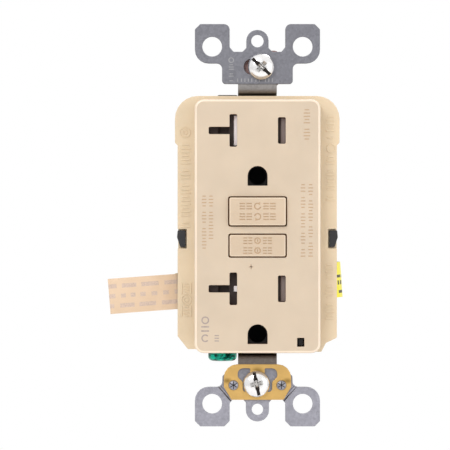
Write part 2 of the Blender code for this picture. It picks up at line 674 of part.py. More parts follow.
def line_terminal(name, side):
    """Screw plate with an arm that turns forward through the sensing cores."""
    near, far = TERMINAL_PLATE
    body = boxes(name, [side_box(side, (near, far), (9.2, 21.7), (9.8, 19.2))])
    join(body, boxes(name + "_riser", [side_box(side, (near, far), (20.0, 26.2), (16.4, 18.8))]))
    join(body, boxes(name + "_arm", [side_box(side, (1.0, far - 0.3), (25.2, 26.1), (16.5, 18.7))]))
    join(body, boxes(name + "_bar", [side_box(side, (1.1, 2.4), (16.0, 25.9), (16.7, 18.5))]))
    hole = rods(name + "_hole", [((side * 12, TERMINAL_Y, TERMINAL_Z),
                                  (side * 16, TERMINAL_Y, TERMINAL_Z))], 2.3, 16)
    cut(body, hole)
    return body


def terminals():
    finish(load_terminal("hot_load_terminal", 1, False), BRASS, 0.3, 1.0)
    finish(load_terminal("neutral_load_terminal", -1, True), NICKEL, 0.3, 1.0)
    finish(line_terminal("hot_line_terminal", 1), BRASS, 0.3, 1.0)
    finish(line_terminal("neutral_line_terminal", -1), NICKEL, 0.3, 1.0)
    for side, pole, colour in ((1, "hot", BRASS), (-1, "neutral", NICKEL)):
        for level, group in ((1, "line"), (-1, "load")):
            z = level * TERMINAL_Z
            name = "%s_%s" % (pole, group)
            clamp = boxes(name + "_clamp", [side_box(side, CLAMP_PLATE, (11.2, 20.8),
                                                     (z - 4.4, z + 4.4))])
            hole = rods(name + "_clamp_hole", [((side * 16, TERMINAL_Y, z),
                                                (side * 20, TERMINAL_Y, z))], 2.3, 16)
            cut(clamp, hole)
            set_origin(clamp, (side * CLAMP_PLATE[0], TERMINAL_Y, z))
            finish(clamp, ZINC, 0.35, 1.0)
            head = SCREW_HEAD[1] - SCREW_HEAD[0]
            profile = [(0.0, 8.0), (1.4, 8.0), (2.0, 7.4), (2.0, head), (3.9, head), (3.9, 0.8),
                       (3.3, 0.0), (0.0, 0.0)]
            screw = turned(name + "_screw", profile, (side * SCREW_HEAD[1], TERMINAL_Y, z),
                           (-side, 0, 0), 20)
            slot = boxes(name + "_screw_slot", [side_box(side, (20.1, 22.0),
                                                         (TERMINAL_Y - 5, TERMINAL_Y + 5),
                                                         (z - 0.55, z + 0.55))])
            cut(screw, slot)
            finish(screw, colour, 0.3, 1.0)


# ---------------------------------------------------------------------------------------------
# Circuit board and mechanism

def circuit_board():
    outline = rounded([(-11.6, -30.6, 0.6), (11.6, -30.6, 0.6), (11.6, -21.6, 0.4), (10.0, -20.6),
                       (10.0, 21.6), (11.6, 22.6, 0.4), (11.6, 30.4, 0.6), (-11.6, 30.4, 0.6),
                       (-11.6, 22.6, 0.4), (-10.0, 21.6), (-10.0, -20.6), (-11.6, -21.6, 0.4)], 2)
    board = plate("circuit_board", [outline, circle(0, RESET_Z, 1.8, 16)], *BOARD)
    finish(board, BOARD_GREEN, 0.4)
    chip = boxes("controller_chip", [((-3.2, 12.5, -16.0), (3.2, BOARD[0] - GAP, -10.5))])
    finish(bevel(chip, 0.2, 1), BLACK, 0.5, smooth=False)
    led = boxes("indicator_led", [((10.3, 12.5, -30.4), (11.5, BOARD[0] - GAP, -29.0))])
    finish(bevel(led, 0.15, 1), CLEAR, 0.2, smooth=False)
    pipe = boxes("light_pipe", [((10.7, FACE_FRONT + 1.0, -31.5), (11.9, 0.6, -29.8))])
    join(pipe, boxes("light_pipe_tail", [((10.75, 0.2, -30.7), (11.85, 12.2, -29.85))]))
    finish(pipe, CLEAR, 0.1, smooth=False)
    leaf = boxes("test_leaf", [((9.4, -1.2, -6.4), (10.0, BOARD[0] - GAP, -4.2))])
    join(leaf, boxes("test_leaf_tongue", [((4.6, -1.25, -6.3), (9.8, -0.8, -4.3))]))
    finish(leaf, COPPER, 0.3, 1.0, smooth=False)
    disc = rods("surge_varistor", [((7.4, PLUNGER_Y + 0.3, -24.6), (10.4, PLUNGER_Y + 0.3, -24.6))],
                4.2, 24)
    finish(bevel(disc, 0.7, 2), VARISTOR_BLUE, 0.35)
    box = boxes("filter_capacitor", [((-10.8, BOARD[1] + GAP, -28.4), (-5.4, 24.0, -21.2))])
    finish(bevel(box, 0.5, 2), IVORY, 0.5)


def sensing_cores():
    centre = (0, BOARD[1] + 0.6, CORE_Z)
    cup = turned("transformer_cup", [(8.8, 8.6), (8.8, 0.0), (3.1, 0.0), (3.1, 8.6), (3.8, 8.6),
                                     (3.8, 1.0), (8.1, 1.0), (8.1, 8.6)], centre, (0, 1, 0), 28)
    finish(cup, FRAME_WHITE, 0.5)
    for name, low in (("differential_core", 1.3), ("neutral_core", 4.9)):
        ring = turned(name, [(7.8, low + 3.3), (7.8, low), (4.1, low), (4.1, low + 3.3)], centre,
                      (0, 1, 0), 24)
        finish(ring, FERRITE, 0.4, 0.3)


def solenoid():
    """Trip coil on its bobbin, with the plunger, its return spring and the latch that it pulls."""
    base = (0, PLUNGER_Y, -24.0)
    profile = [(4.5, 17.0), (4.5, 16.0), (2.8, 16.0), (2.8, 1.0), (4.5, 1.0), (4.5, 0.0),
               (2.2, 0.0), (2.2, 17.0)]
    finish(turned("solenoid_bobbin", profile, base, (0, 0, 1), 20), FRAME_WHITE, 0.5)
    coil = [(4.2, 15.7), (4.2, 1.3), (3.1, 1.3), (3.1, 15.7)]
    finish(turned("solenoid_coil", coil, base, (0, 0, 1), 20), COPPER, 0.35, 0.8)
    plunger = turned("solenoid_plunger", [(0.0, 22.1), (1.9, 22.1), (1.9, 0.0), (0.0, 0.0)],
                     (0, PLUNGER_Y, -26.0), (0, 0, 1), 16)
    finish(plunger, ZINC, 0.35, 1.0)
    spring = coil_spring("plunger_spring", (0, PLUNGER_Y, -30.7), (0, 0, 1), 4.4, 1.5, 0.13, 5)
    finish(spring, NICKEL, 0.3, 1.0)
    latch = plate("latch_slide", [rectangle((-3.4, -3.6), (3.4, 8.0), 0.8, 2),
                                  rectangle((-1.6, 2.0), (1.6, 6.6), 0.5, 2)],
                  PLUNGER_Y - 0.5, PLUNGER_Y + 0.5)
    set_origin(latch, (0, PLUNGER_Y, RESET_Z))
    finish(latch, ZINC, 0.35, 1.0)


def contact_mechanism():
    """The lifter that the reset pin draws forward, and the two arms that it closes."""
    low, high = RESET_Z - 2.0, RESET_Z + 2.0
    lifter = boxes("contact_lifter", [((-9.2, 22.4, low), (9.2, 24.4, high))])
    cut(bevel(lifter, 0.3, 1), rods("lifter_hole", [((0, 20, RESET_Z), (0, 27, RESET_Z))], 1.7, 16))
    set_origin(lifter, (0, 22.4, RESET_Z))
    finish(lifter, FRAME_WHITE, 0.45)
    for side, pole in ((1, "hot"), (-1, "neutral")):
        arm = boxes(pole + "_contact_arm", [side_box(side, (6.4, 9.0), (21.6, 22.1), (-12.0, 5.4))])
        tip = rods(pole + "_contact_tip", [((side * 7.7, 20.8, RESET_Z), (side * 7.7, 21.8, RESET_Z))],
                   1.1, 12)
        join(arm, tip)
        set_origin(arm, (0, 21.85, -12.0))
        finish(arm, COPPER, 0.3, 1.0)


# ---------------------------------------------------------------------------------------------
# Tape over the load terminals

def terminal_tape():
    """A tape that starts on the right side, goes round the back and stands out on the left."""
    width = 9.3
    thick = 0.25
    slant = math.radians(4.2)
    centre_z = -15.95
    path = [(20.6, 5.2), (21.6, 7.4, 4.0), (22.4, 11.5, 6.0), (22.1, 19.0, 8.0),
            (21.5, 25.8, 2.0), (20.3, 29.3, 0.9), (-20.3, 29.3, 0.9), (-21.5, 25.8, 2.0),
            (-21.5, 12.0, 1.5), (-20.7, 9.6, 1.5), (-20.7, 6.3, 0.7), (-27.0, 6.0, 3.0),
            (-34.0, 5.4, 6.0), (-39.3, 4.0)]
    outer = ribbon(path, thick)
    tape = plate("terminal_tape", [outer], -width / 2, width / 2, "Z")
    tape.rotation_euler.y = -slant
    tape.location.z = centre_z * MM
    return finish(tape, TAPE, 0.5)


def ribbon(path, thick):
    """The outline of a bent strip around an open path with rounded corners."""
    line = rounded([path[0][:2]] + list(path[1:-1]) + [path[-1][:2]], 3)
    left = []
    right = []
    for i, point in enumerate(line):
        along = line[min(i + 1, len(line) - 1)] - line[max(i - 1, 0)]
        normal = Vector((-along.y, along.x)).normalized() * thick / 2
        left.append(point + normal)
        right.append(point - normal)
    return left + right[::-1]


start_scene()
front_cover()
buttons()
shutters()
mounting_strap()
grounding_clip()
mounting_screws()
ground_screw()
ground_contacts()
back_body()
housing_screws()
middle_frame()
terminals()
circuit_board()
sensing_cores()
solenoid()
contact_mechanism()
terminal_tape()
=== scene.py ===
"""A ground-fault receptacle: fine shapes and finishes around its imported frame."""
import json
import math

import bmesh
import bpy
from mathutils import Matrix, Vector

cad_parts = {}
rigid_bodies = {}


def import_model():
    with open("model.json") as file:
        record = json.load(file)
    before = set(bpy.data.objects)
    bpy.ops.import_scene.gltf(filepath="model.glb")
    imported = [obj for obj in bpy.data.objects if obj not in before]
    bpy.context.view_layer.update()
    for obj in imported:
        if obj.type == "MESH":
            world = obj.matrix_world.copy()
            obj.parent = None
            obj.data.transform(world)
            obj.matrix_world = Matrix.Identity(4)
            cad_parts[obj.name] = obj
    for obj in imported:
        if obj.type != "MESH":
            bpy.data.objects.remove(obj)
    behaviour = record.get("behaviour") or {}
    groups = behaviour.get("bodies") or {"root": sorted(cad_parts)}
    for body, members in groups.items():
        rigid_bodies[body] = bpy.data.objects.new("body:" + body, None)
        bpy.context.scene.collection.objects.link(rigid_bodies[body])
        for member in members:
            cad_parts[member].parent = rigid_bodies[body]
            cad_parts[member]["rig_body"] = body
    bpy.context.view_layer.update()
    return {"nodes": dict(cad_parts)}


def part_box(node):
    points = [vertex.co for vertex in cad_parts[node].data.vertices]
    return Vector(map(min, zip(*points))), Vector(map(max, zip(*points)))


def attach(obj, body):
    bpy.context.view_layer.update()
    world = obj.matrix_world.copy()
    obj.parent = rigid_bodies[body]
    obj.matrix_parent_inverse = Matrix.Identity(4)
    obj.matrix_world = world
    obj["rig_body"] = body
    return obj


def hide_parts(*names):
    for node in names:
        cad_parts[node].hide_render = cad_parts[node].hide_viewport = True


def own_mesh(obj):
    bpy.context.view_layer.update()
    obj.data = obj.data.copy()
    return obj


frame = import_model()

MM = 0.001
OUTLETS = {"upper": 24.8, "lower": -16.65}      # height of each outlet's blade slots
RESET_Z = 3.6
TEST_Z = -5.35
SCREW_PITCH = 0.794                             # 6-32 and 8-32 threads have 32 turns to the inch
FLANGE_FRONT = -1.0                             # front of the cover's flange beside the face
FLANGE_LIMIT = -1.6                             # the cover is flange behind this and face before it
SKIRT_FRONT = -6.0                              # front of the buttons' skirts
SMOOTH_ANGLE = 32                               # edges that turn by more degrees are drawn sharp


# --- Node materials ---

class NodeTree:
    """A tree of shader nodes under construction."""

    def __init__(self, owner):
        owner.use_nodes = True
        self.nodes = owner.node_tree.nodes
        self.links = owner.node_tree.links
        self.nodes.clear()

    def put(self, socket, value):
        if isinstance(value, bpy.types.NodeSocket):
            self.links.new(value, socket)
        elif isinstance(value, (tuple, list)) and len(value) == 3 and socket.type == "RGBA":
            socket.default_value = (*value, 1.0)
        else:
            socket.default_value = value

    def feed(self, node, inputs):
        for name, value in inputs.items():
            self.put(node.inputs[name], value)
        return node.outputs

    def add(self, kind, inputs=None):
        """A new node of a kind, with values or other nodes' outputs in its inputs."""
        return self.feed(self.nodes.new("ShaderNode" + kind), inputs or {})

    def map_range(self, value, low, high, start, end):
        return self.add("MapRange", {"Value": value, "From Min": start, "From Max": end,
                                     "To Min": low, "To Max": high})["Result"]


class Finish(NodeTree):
    """One node material under construction; lengths are in millimetres of the object."""

    def __init__(self, slot):
        self.slot = slot
        self.material = bpy.data.materials.new(slot + "_finish")
        super().__init__(self.material)
        self.shader = self.nodes.new("ShaderNodeBsdfPrincipled")
        self.add("OutputMaterial", {"Surface": self.shader.outputs["BSDF"]})
        self.coordinates = self.add("TexCoord")["Object"]

    def set(self, **values):
        """Sets the shader's inputs, named with _ for a space."""
        self.feed(self.shader, {name.replace("_", " "): value for name, value in values.items()})

    def stretched(self, stretch):
        if not stretch:
            return self.coordinates
        return self.add("Mapping", {"Scale": stretch, "Vector": self.coordinates})["Vector"]

    def noise(self, size, detail=2.0, stretch=None, roughness=0.5):
        return self.add("TexNoise", {"Scale": 1 / (size * MM), "Detail": detail, "Roughness": roughness,
                                     "Vector": self.stretched(stretch)})["Fac"]

    def cells(self, size, output="Color", stretch=None):
        return self.add("TexVoronoi", {"Scale": 1 / (size * MM), "Vector": self.stretched(stretch)})[output]

    def span(self, value, low=0.0, high=1.0, start=0.3, end=0.7):
        """Maps the part of a 0..1 value between start and end onto low..high."""
        return self.map_range(value, low, high, start, end)

    def mix(self, factor, first, second, blend="MIX"):
        mix = self.nodes.new("ShaderNodeMix")
        mix.data_type = "RGBA"
        mix.blend_type = blend
        return self.feed(mix, {"Factor": factor, 6: first, 7: second})[2]     # 6, 7 and 2 are colours

    def maths(self, operation, first, second):
        node = self.nodes.new("ShaderNodeMath")
        node.operation = operation
        return self.feed(node, {0: first, 1: second})["Value"]

    def vector_maths(self, operation, output, inputs):
        node = self.nodes.new("ShaderNodeVectorMath")
        node.operation = operation
        return self.feed(node, inputs)[output]

    def near(self, point, reach, squeeze):
        """1 at a point of the object, falling smoothly to 0 at a distance of reach."""
        offset = self.vector_maths("SUBTRACT", "Vector", {0: self.coordinates, 1: Vector(point) * MM})
        scaled = self.vector_maths("MULTIPLY", "Vector", {0: offset, 1: squeeze})
        length = self.vector_maths("LENGTH", "Value", {0: scaled})
        ranged = self.nodes.new("ShaderNodeMapRange")
        ranged.interpolation_type = "SMOOTHSTEP"
        return self.feed(ranged, {"Value": length, "From Min": 0.0, "From Max": reach * MM,
                                  "To Min": 1.0, "To Max": 0.0})["Result"]

    def along(self, axis, start, end):
        """0 to 1 from one place to another along one of the object's axes."""
        place = self.add("SeparateXYZ", {"Vector": self.coordinates})[axis]
        return self.span(place, 0.0, 1.0, start * MM, end * MM)

    def between(self, axis, low, high, blur):
        """1 between two places along one of the object's axes, 0 elsewhere."""
        return self.maths("MULTIPLY", self.along(axis, low - blur, low), self.along(axis, high + blur, high))

    def tone(self):
        """The colour set so far."""
        return self.shader.inputs["Base Color"].links[0].from_socket

    def bumps(self, *layers):
        """Sets the normal from (height, depth in millimetres) layers, one on top of another."""
        normal = None
        for height, depth in layers:
            inputs = {"Strength": 1.0, "Distance": depth * MM, "Height": height}
            if normal:
                inputs["Normal"] = normal
            normal = self.add("Bump", inputs)["Normal"]
        self.set(Normal=normal)


def shade(colour, factor):
    return tuple(min(1.0, channel * factor) for channel in colour)


def plastic(slot, colour, roughness, grain=0.16, depth=0.006, mottle=0.035, soften=0.0):
    """Moulded plastic: faint flow clouds, a fine spark-eroded grain and uneven gloss."""
    finish = Finish(slot)
    cloud = finish.noise(9.0, 3.0)
    fine = finish.noise(grain)
    speck = finish.span(finish.noise(grain * 4, 1.0), 0.985, 1.01, 0.35, 0.65)
    tone = finish.mix(finish.span(cloud), shade(colour, 1 - mottle), shade(colour, 1 + mottle))
    specks = finish.mix(speck, (0.97, 0.965, 0.96), (1, 1, 1))
    finish.set(Base_Color=finish.mix(1.0, tone, specks, "MULTIPLY"),
               Roughness=finish.span(finish.maths("MULTIPLY", cloud, fine), roughness - 0.06,
                                     roughness + 0.08, 0.1, 0.45))
    finish.bumps((cloud, depth * 2), (fine, depth))
    if soften:
        finish.set(Subsurface_Weight=soften, Subsurface_Radius=(1.0, 0.72, 0.5), Subsurface_Scale=0.7 * MM)
    return finish


def sheet_metal(slot, colour, roughness, spangle, grain=(1, 1, 1), contrast=0.10, depth=0.006):
    """Plated sheet: small spangles, a faint rolling grain and patches of duller plating."""
    finish = Finish(slot)
    flakes = finish.span(finish.cells(spangle), 0.0, 1.0, 0.0, 1.0)
    rolled = finish.noise(0.35, 3.0, grain, 0.7)
    dull = finish.noise(4.0, 4.0)
    fleck = finish.noise(0.18, 1.0)
    tone = finish.mix(flakes, shade(colour, 1 - contrast), shade(colour, 1 + contrast))
    tone = finish.mix(finish.span(rolled, 0.0, 0.6), tone, shade(colour, 0.86))
    tone = finish.mix(finish.span(dull, 0.0, 0.35, 0.45, 0.75), tone, shade(colour, 1.18))
    finish.set(Base_Color=tone, Metallic=1.0,
               Roughness=finish.span(finish.maths("ADD", dull, fleck), roughness - 0.08,
                                     roughness + 0.12, 0.7, 1.3))
    finish.bumps((rolled, depth), (fleck, depth * 0.6))
    return finish


def bright_metal(slot, colour, roughness, scratch=0.004, stain=0.12):
    """Polished or plated metal with hairline scratches and faint handling marks."""
    finish = Finish(slot)
    hair = finish.noise(0.6, 4.0, (1.0, 9.0, 1.0), 0.75)
    marks = finish.noise(2.2, 3.0)
    tone = finish.mix(finish.span(marks, 0.0, stain, 0.4, 0.75), colour, shade(colour, 0.55))
    finish.set(Base_Color=tone, Metallic=1.0,
               Roughness=finish.span(finish.maths("MULTIPLY", hair, marks), roughness * 0.7,
                                     roughness * 1.6, 0.12, 0.42))
    finish.bumps((hair, scratch), (marks, scratch * 1.5))
    return finish


def zinc_strap():
    """Zinc over steel, bluer at the top end, with painted light and shade: lighter towards the lower end and
    round the upper neck, browner round the lower neck and nearly black where the run dips into the housing.
    """
    finish = sheet_metal("galvanised_steel", (0.215, 0.216, 0.243), 0.46, 0.55, (6, 6, 0.7), 0.20, 0.012)
    # Painted light: lighter towards the lower end
    tone = finish.mix(finish.along("Z", -36.0, -44.0), finish.tone(), (1.62, 1.60, 1.62), "MULTIPLY")
    # Painted shade, browner, round the lower neck and painted light round the upper neck
    for low, high, tint in ((-36.4, -30.0, (0.95, 0.84, 0.70)), (30.0, 36.9, (1.35, 1.28, 1.12))):
        tone = finish.mix(finish.between("Z", low, high, 0.4), tone, tint, "MULTIPLY")
    # Painted shade: nearly black where each neck runs in under the cover
    tone = finish.mix(finish.between("Z", -34.1, -30.0, 0.6), tone, (0.014, 0.009, 0.006))
    finish.set(Base_Color=finish.mix(finish.between("Z", 30.0, 34.5, 0.5), tone, (0.045, 0.042, 0.036)))
    return finish


def brass_clip():
    """Rolled brass, brushed sideways, with painted shade in brown patches beside each rivet and above the
    screw.
    """
    colour = (0.66, 0.42, 0.145)
    finish = Finish("brass_sheet")
    brushed = finish.noise(0.3, 4.0, (0.12, 1.0, 3.0), 0.7)
    cloud = finish.noise(3.0, 3.0)
    tone = finish.mix(finish.span(brushed, 0.0, 0.5), colour, shade(colour, 0.78))
    tone = finish.mix(finish.span(cloud, 0.0, 0.5), tone, shade(colour, 1.2))
    # Painted shade: brown patches beside each rivet and on the tongue above the screw
    for point, reach in (((-7.9, -2.1, -40.9), 1.7), ((7.9, -2.1, -40.9), 1.8), ((0.0, -2.1, -38.3), 2.4)):
        painted_shade = finish.maths("MULTIPLY", finish.near(point, reach, (1.0, 1.0, 1.6)), 0.75)
        tone = finish.mix(painted_shade, tone, (0.22, 0.13, 0.03))
    finish.set(Base_Color=tone, Metallic=1.0, Roughness=finish.span(brushed, 0.30, 0.44))
    finish.bumps((brushed, 0.010), (cloud, 0.02))
    return finish


def red_fibre():
    finish = Finish("red_fibre")
    strands = finish.noise(0.25, 4.0, (1.0, 3.0, 0.35), 0.8)
    cloud = finish.noise(1.6, 3.0)
    tone = finish.mix(finish.span(strands), (0.32, 0.19, 0.18), (0.44, 0.29, 0.27))
    tone = finish.mix(finish.span(cloud, 0.0, 0.3), tone, (0.22, 0.13, 0.12))
    finish.set(Base_Color=tone, Roughness=0.82)
    finish.bumps((strands, 0.03))
    return finish


def board_laminate():
    """Green solder mask over woven glass, with the tracks showing through as raised lines."""
    finish = Finish("board_laminate")
    weave = finish.noise(0.3, 1.0, (1.0, 0.1, 1.0))
    track = finish.span(finish.cells(2.6, "Distance", (1.0, 0.02, 1.0)), 1.0, 0.0, 0.16, 0.22)
    finish.set(Base_Color=finish.mix(track, (0.012, 0.11, 0.035), (0.03, 0.24, 0.08)),
               Roughness=finish.span(weave, 0.28, 0.42))
    finish.bumps((track, 0.03), (weave, 0.01))
    return finish


def tape_film(slot, light, dark, gloss):
    """Thin printed film with fine stretch lines along it."""
    finish = Finish(slot)
    lines = finish.noise(0.5, 3.0, (0.15, 1.0, 2.5), 0.7)
    cloud = finish.noise(7.0, 3.0)
    tone = finish.mix(finish.span(cloud), dark, light)
    tone = finish.mix(finish.span(lines, 0.0, 0.25), tone, shade(dark, 0.9))
    finish.set(Base_Color=tone, Roughness=finish.span(lines, gloss - 0.06, gloss + 0.08))
    finish.bumps((lines, 0.015), (cloud, 0.05))
    return finish


def clouded(slot, dark, light, noises, gloss, relief, band=(0.3, 0.7), **sockets):
    """Clouds between two colours from the first noise, gloss from the last; relief is (noise, depth)."""
    finish = Finish(slot)
    fields = [finish.noise(*noise) for noise in noises]
    finish.set(Base_Color=finish.mix(finish.span(fields[0], 0.0, 1.0, *band), dark, light),
               Roughness=finish.span(fields[-1], *gloss), **sockets)
    if relief:
        finish.bumps(*((fields[number], depth) for number, depth in relief))
    return finish


def pad_print(slot, colour):
    return clouded(slot, shade(colour, 0.9), shade(colour, 1.2), [(0.35, 3.0)], (0.45, 0.6), [(0, 0.004)])


def deep_shade():
    """Painted shade: a warm dark brown for the moulding inside narrow gaps, where light only comes by way of
    other warm walls.
    """
    finish = plastic("ivory_shade", (0.42, 0.15, 0.05), 0.6, 0.14)
    finish.set(Specular_IOR_Level=0.05)
    return finish


IVORY = (0.603, 0.490, 0.370)
FINISHES = {finish.slot: finish for finish in [
    plastic("ivory_plastic", IVORY, 0.36, soften=0.12),
    # Painted light: a lighter, more orange copy of the ivory plastic for the flange beside the face
    plastic("ivory_flange", (0.725, 0.590, 0.415), 0.42, 0.2, 0.008, soften=0.12),
    # Painted highlight: a lighter, glossier copy of the ivory plastic for the rounded rim of the face
    plastic("ivory_rim", (0.83, 0.69, 0.55), 0.22, 0.16, 0.004, soften=0.12),
    plastic("ivory_button", (0.595, 0.466, 0.338), 0.33, 0.14, 0.004, soften=0.12),
    # Painted shade: a darker tan copy of the ivory plastic for the faces of engraved marks
    plastic("ivory_engraved", (0.52, 0.36, 0.225), 0.55, 0.14),
    plastic("black_plastic", (0.016, 0.016, 0.019), 0.40, 0.22, 0.010, 0.15),
    deep_shade(),
    # Painted highlight: a lighter copy of the ivory plastic for the buttons' rounded front edges
    plastic("button_rim", (0.70, 0.565, 0.425), 0.25, 0.16, 0.004),
    # Painted shade: near black for the liners inside the ground holes
    plastic("dark_bore", (0.0015, 0.0012, 0.0012), 0.85, 0.2, 0.004),
    # Painted shade: near-black brown for the shutters seen through the slots
    plastic("shutter_plastic", (0.022, 0.011, 0.007), 0.6, 0.2),
    # Painted shade: dark grey for the ramps under the hot slots
    plastic("hot_ramp_plastic", (0.24, 0.20, 0.185), 0.3, 0.2),
    plastic("ramp_plastic", (0.93, 0.92, 0.93), 0.12, 0.2, 0.003, 0.01),
    plastic("frame_plastic", (0.62, 0.62, 0.60), 0.45, 0.2),
    zinc_strap(),
    sheet_metal("plated_steel", (0.46, 0.46, 0.47), 0.34, 0.7, contrast=0.12),
    bright_metal("nickel_screw", (0.93, 0.92, 0.92), 0.16),
    # Painted shade: near black for the faces inside screw slots and rivet dents
    bright_metal("screw_recess", (0.035, 0.03, 0.028), 0.35, 0.01, 0.3),
    # Painted shade: a darker grey metal than the nickel heads, for the faces inside the screws' crosses
    bright_metal("screw_cross", (0.70, 0.69, 0.68), 0.12, 0.02, 0.5),
    brass_clip(),
    bright_metal("brass_contact", (0.80, 0.56, 0.24), 0.24, 0.006, 0.2),
    bright_metal("tinned_contact", (0.66, 0.65, 0.62), 0.26, 0.006, 0.2),
    bright_metal("spring_steel", (0.62, 0.62, 0.62), 0.2, 0.003, 0.2),
    # Dyed plating under a clear coat, in random clouds from near black to bright teal: partly the dye's own
    # unevenness, partly painted reflection
    clouded("green_screw", (0.0005, 0.02, 0.014), (0.008, 0.46, 0.31), [(1.4, 3.0), (0.3, 2.0, (4, 4, 1))],
            (0.14, 0.30), [(0, 0.05), (1, 0.004)], (0.40, 0.58), Metallic=0.9, Coat_Weight=0.15,
            Coat_Roughness=0.08),
    red_fibre(),
    board_laminate(),
    clouded("ferrite", (0.035, 0.035, 0.04), (0.09, 0.09, 0.095), [(1.2, 3.0), (0.12, 3.0)],
            (0.5, 0.8), [(1, 0.02), (0, 0.03)]),
    # Enamelled copper: amber lacquer over metal
    clouded("copper_winding", (0.42, 0.12, 0.03), (0.78, 0.30, 0.10), [(1.0, 3.0), (0.15, 2.0)],
            (0.2, 0.4), [(1, 0.004)], Metallic=0.85, Coat_Weight=0.5),
    bright_metal("copper_sheet", (0.80, 0.42, 0.25), 0.28, 0.008, 0.25),
    clouded("clear_plastic", (0.003, 0.002, 0.002), (0.010, 0.008, 0.008), [(0.8, 2.0)],
            (0.25, 0.4), [(0, 0.005)], Transmission_Weight=0.2, Specular_IOR_Level=0.25),
    clouded("varistor_coating", (0.02, 0.10, 0.33), (0.05, 0.19, 0.50), [(2.5, 2.0), (0.3, 3.0)],
            (0.18, 0.36), [(0, 0.15), (1, 0.01)]),
    plastic("chip_epoxy", (0.03, 0.03, 0.032), 0.6, 0.1, 0.008, 0.1),
    tape_film("paper_tape", (0.76, 0.57, 0.405), (0.70, 0.52, 0.36), 0.45),
    tape_film("tape_printed", (0.96, 0.86, 0.025), (0.90, 0.80, 0.02), 0.35),
    pad_print("tape_ghost", (0.57, 0.44, 0.365)),
    pad_print("tape_ink", (0.07, 0.06, 0.03)),
    pad_print("grey_print", (0.36, 0.29, 0.26)),
    clouded("floor", (0.80, 0.79, 0.78), (0.84, 0.835, 0.825), [(300.0, 2.0)], (0.6, 0.7), []),
]}


# --- Mesh tools; every size is in millimetres ---

def add_box(shape, low, high, turn=None):
    """A box between two corners, optionally moved by a matrix whose lengths are in metres."""
    low = Vector(low) * MM
    high = Vector(high) * MM
    made = bmesh.ops.create_cube(shape, size=1.0)["verts"]
    stand = Matrix.Translation((low + high) / 2) @ Matrix.Diagonal((*(high - low), 1))
    bmesh.ops.transform(shape, matrix=(turn or Matrix()) @ stand, verts=made)


def frame_at(centre, axis, spin=0.0):
    """A matrix that puts local +Z along an axis at a point, turned by spin degrees about it."""
    turn = Vector(axis).to_track_quat("Z", "Y").to_matrix().to_4x4()
    return Matrix.Translation(Vector(centre) * MM) @ turn @ Matrix.Rotation(math.radians(spin), 4, "Z")


def polar(radius, angle, height):
    """A point in metres from its radius and height in millimetres."""
    return Vector((radius * math.cos(angle) * MM, radius * math.sin(angle) * MM, height * MM))


def join_rings(shape, rings, whole=True, capped=False):
    """Faces between each ring of points and the next; whole rings close on themselves."""
    for lower, upper in zip(rings, rings[1:]):
        count = len(lower)
        for step in range(count if whole else count - 1):
            after = (step + 1) % count
            shape.faces.new((lower[step], lower[after], upper[after], upper[step]))
    if capped:
        shape.faces.new(rings[0][::-1])
        shape.faces.new(rings[-1])


def add_turned(shape, profile, place, steps=64):
    """The solid made by turning (radius, height) points round a placement's Z axis."""
    rings = [[shape.verts.new(place @ polar(radius, math.tau * step / steps, height))
              for step in range(steps if radius else 1)] for radius, height in profile]
    for lower, upper in zip(rings, rings[1:]):
        for step in range(steps):
            after = (step + 1) % steps
            corners = [lower[step % len(lower)], lower[after % len(lower)],
                       upper[after % len(upper)], upper[step % len(upper)]]
            corners = [corner for i, corner in enumerate(corners) if corner not in corners[:i]]
            if len(corners) > 2:
                shape.faces.new(corners)


def add_thread(shape, radius, depth, end, place, pitch=SCREW_PITCH, steps=28, rows_per_turn=7):
    """A threaded rod from 0 to end along a placement's Z axis, tapered at its far end."""
    rows = round(end / pitch * rows_per_turn)
    rings = []
    for row in range(rows + 1):
        height = end * row / rows
        lead = min(1.0, (end - height) / pitch + 0.35)
        ring = []
        for step in range(steps):
            phase = (height / pitch - step / steps) % 1.0
            ridge = radius * (0.80 + 0.20 * lead) - depth * abs(2 * phase - 1)
            ring.append(shape.verts.new(place @ polar(ridge, math.tau * step / steps, height)))
        rings.append(ring)
    join_rings(shape, rings, capped=True)


def add_tube(shape, points, radius, sides):
    """A round wire along a line of points, with flat ends."""
    points = [Vector(point) * MM for point in points]
    rings = []
    side = None
    for i, point in enumerate(points):
        along = (points[min(i + 1, len(points) - 1)] - points[max(i - 1, 0)]).normalized()
        if side is None:
            side = along.orthogonal().normalized()
        side = (side - along * side.dot(along)).normalized()
        other = along.cross(side)
        rings.append([shape.verts.new(point + (side * math.cos(math.tau * k / sides)
                                               + other * math.sin(math.tau * k / sides)) * radius * MM)
                      for k in range(sides)])
    join_rings(shape, rings, capped=True)


def add_slab(shape, outline, low, high):
    """A prism of an (x, y) outline along Z."""
    ends = [[shape.verts.new(Vector((x, y, z)) * MM) for x, y in outline] for z in (low, high)]
    join_rings(shape, ends, capped=True)


def rounded_edges(shape, width, segments=2, angle=40, pick=None):
    """Rounds the edges that turn by more than an angle, where pick agrees."""
    bmesh.ops.recalc_face_normals(shape, faces=shape.faces)
    shape.normal_update()
    sharp = [edge for edge in shape.edges if len(edge.link_faces) == 2
             and edge.calc_face_angle(0) > math.radians(angle) and (pick is None or pick(edge))]
    bmesh.ops.bevel(shape, geom=sharp, offset=width * MM, segments=segments, profile=0.5,
                    affect="EDGES", clamp_overlap=False)


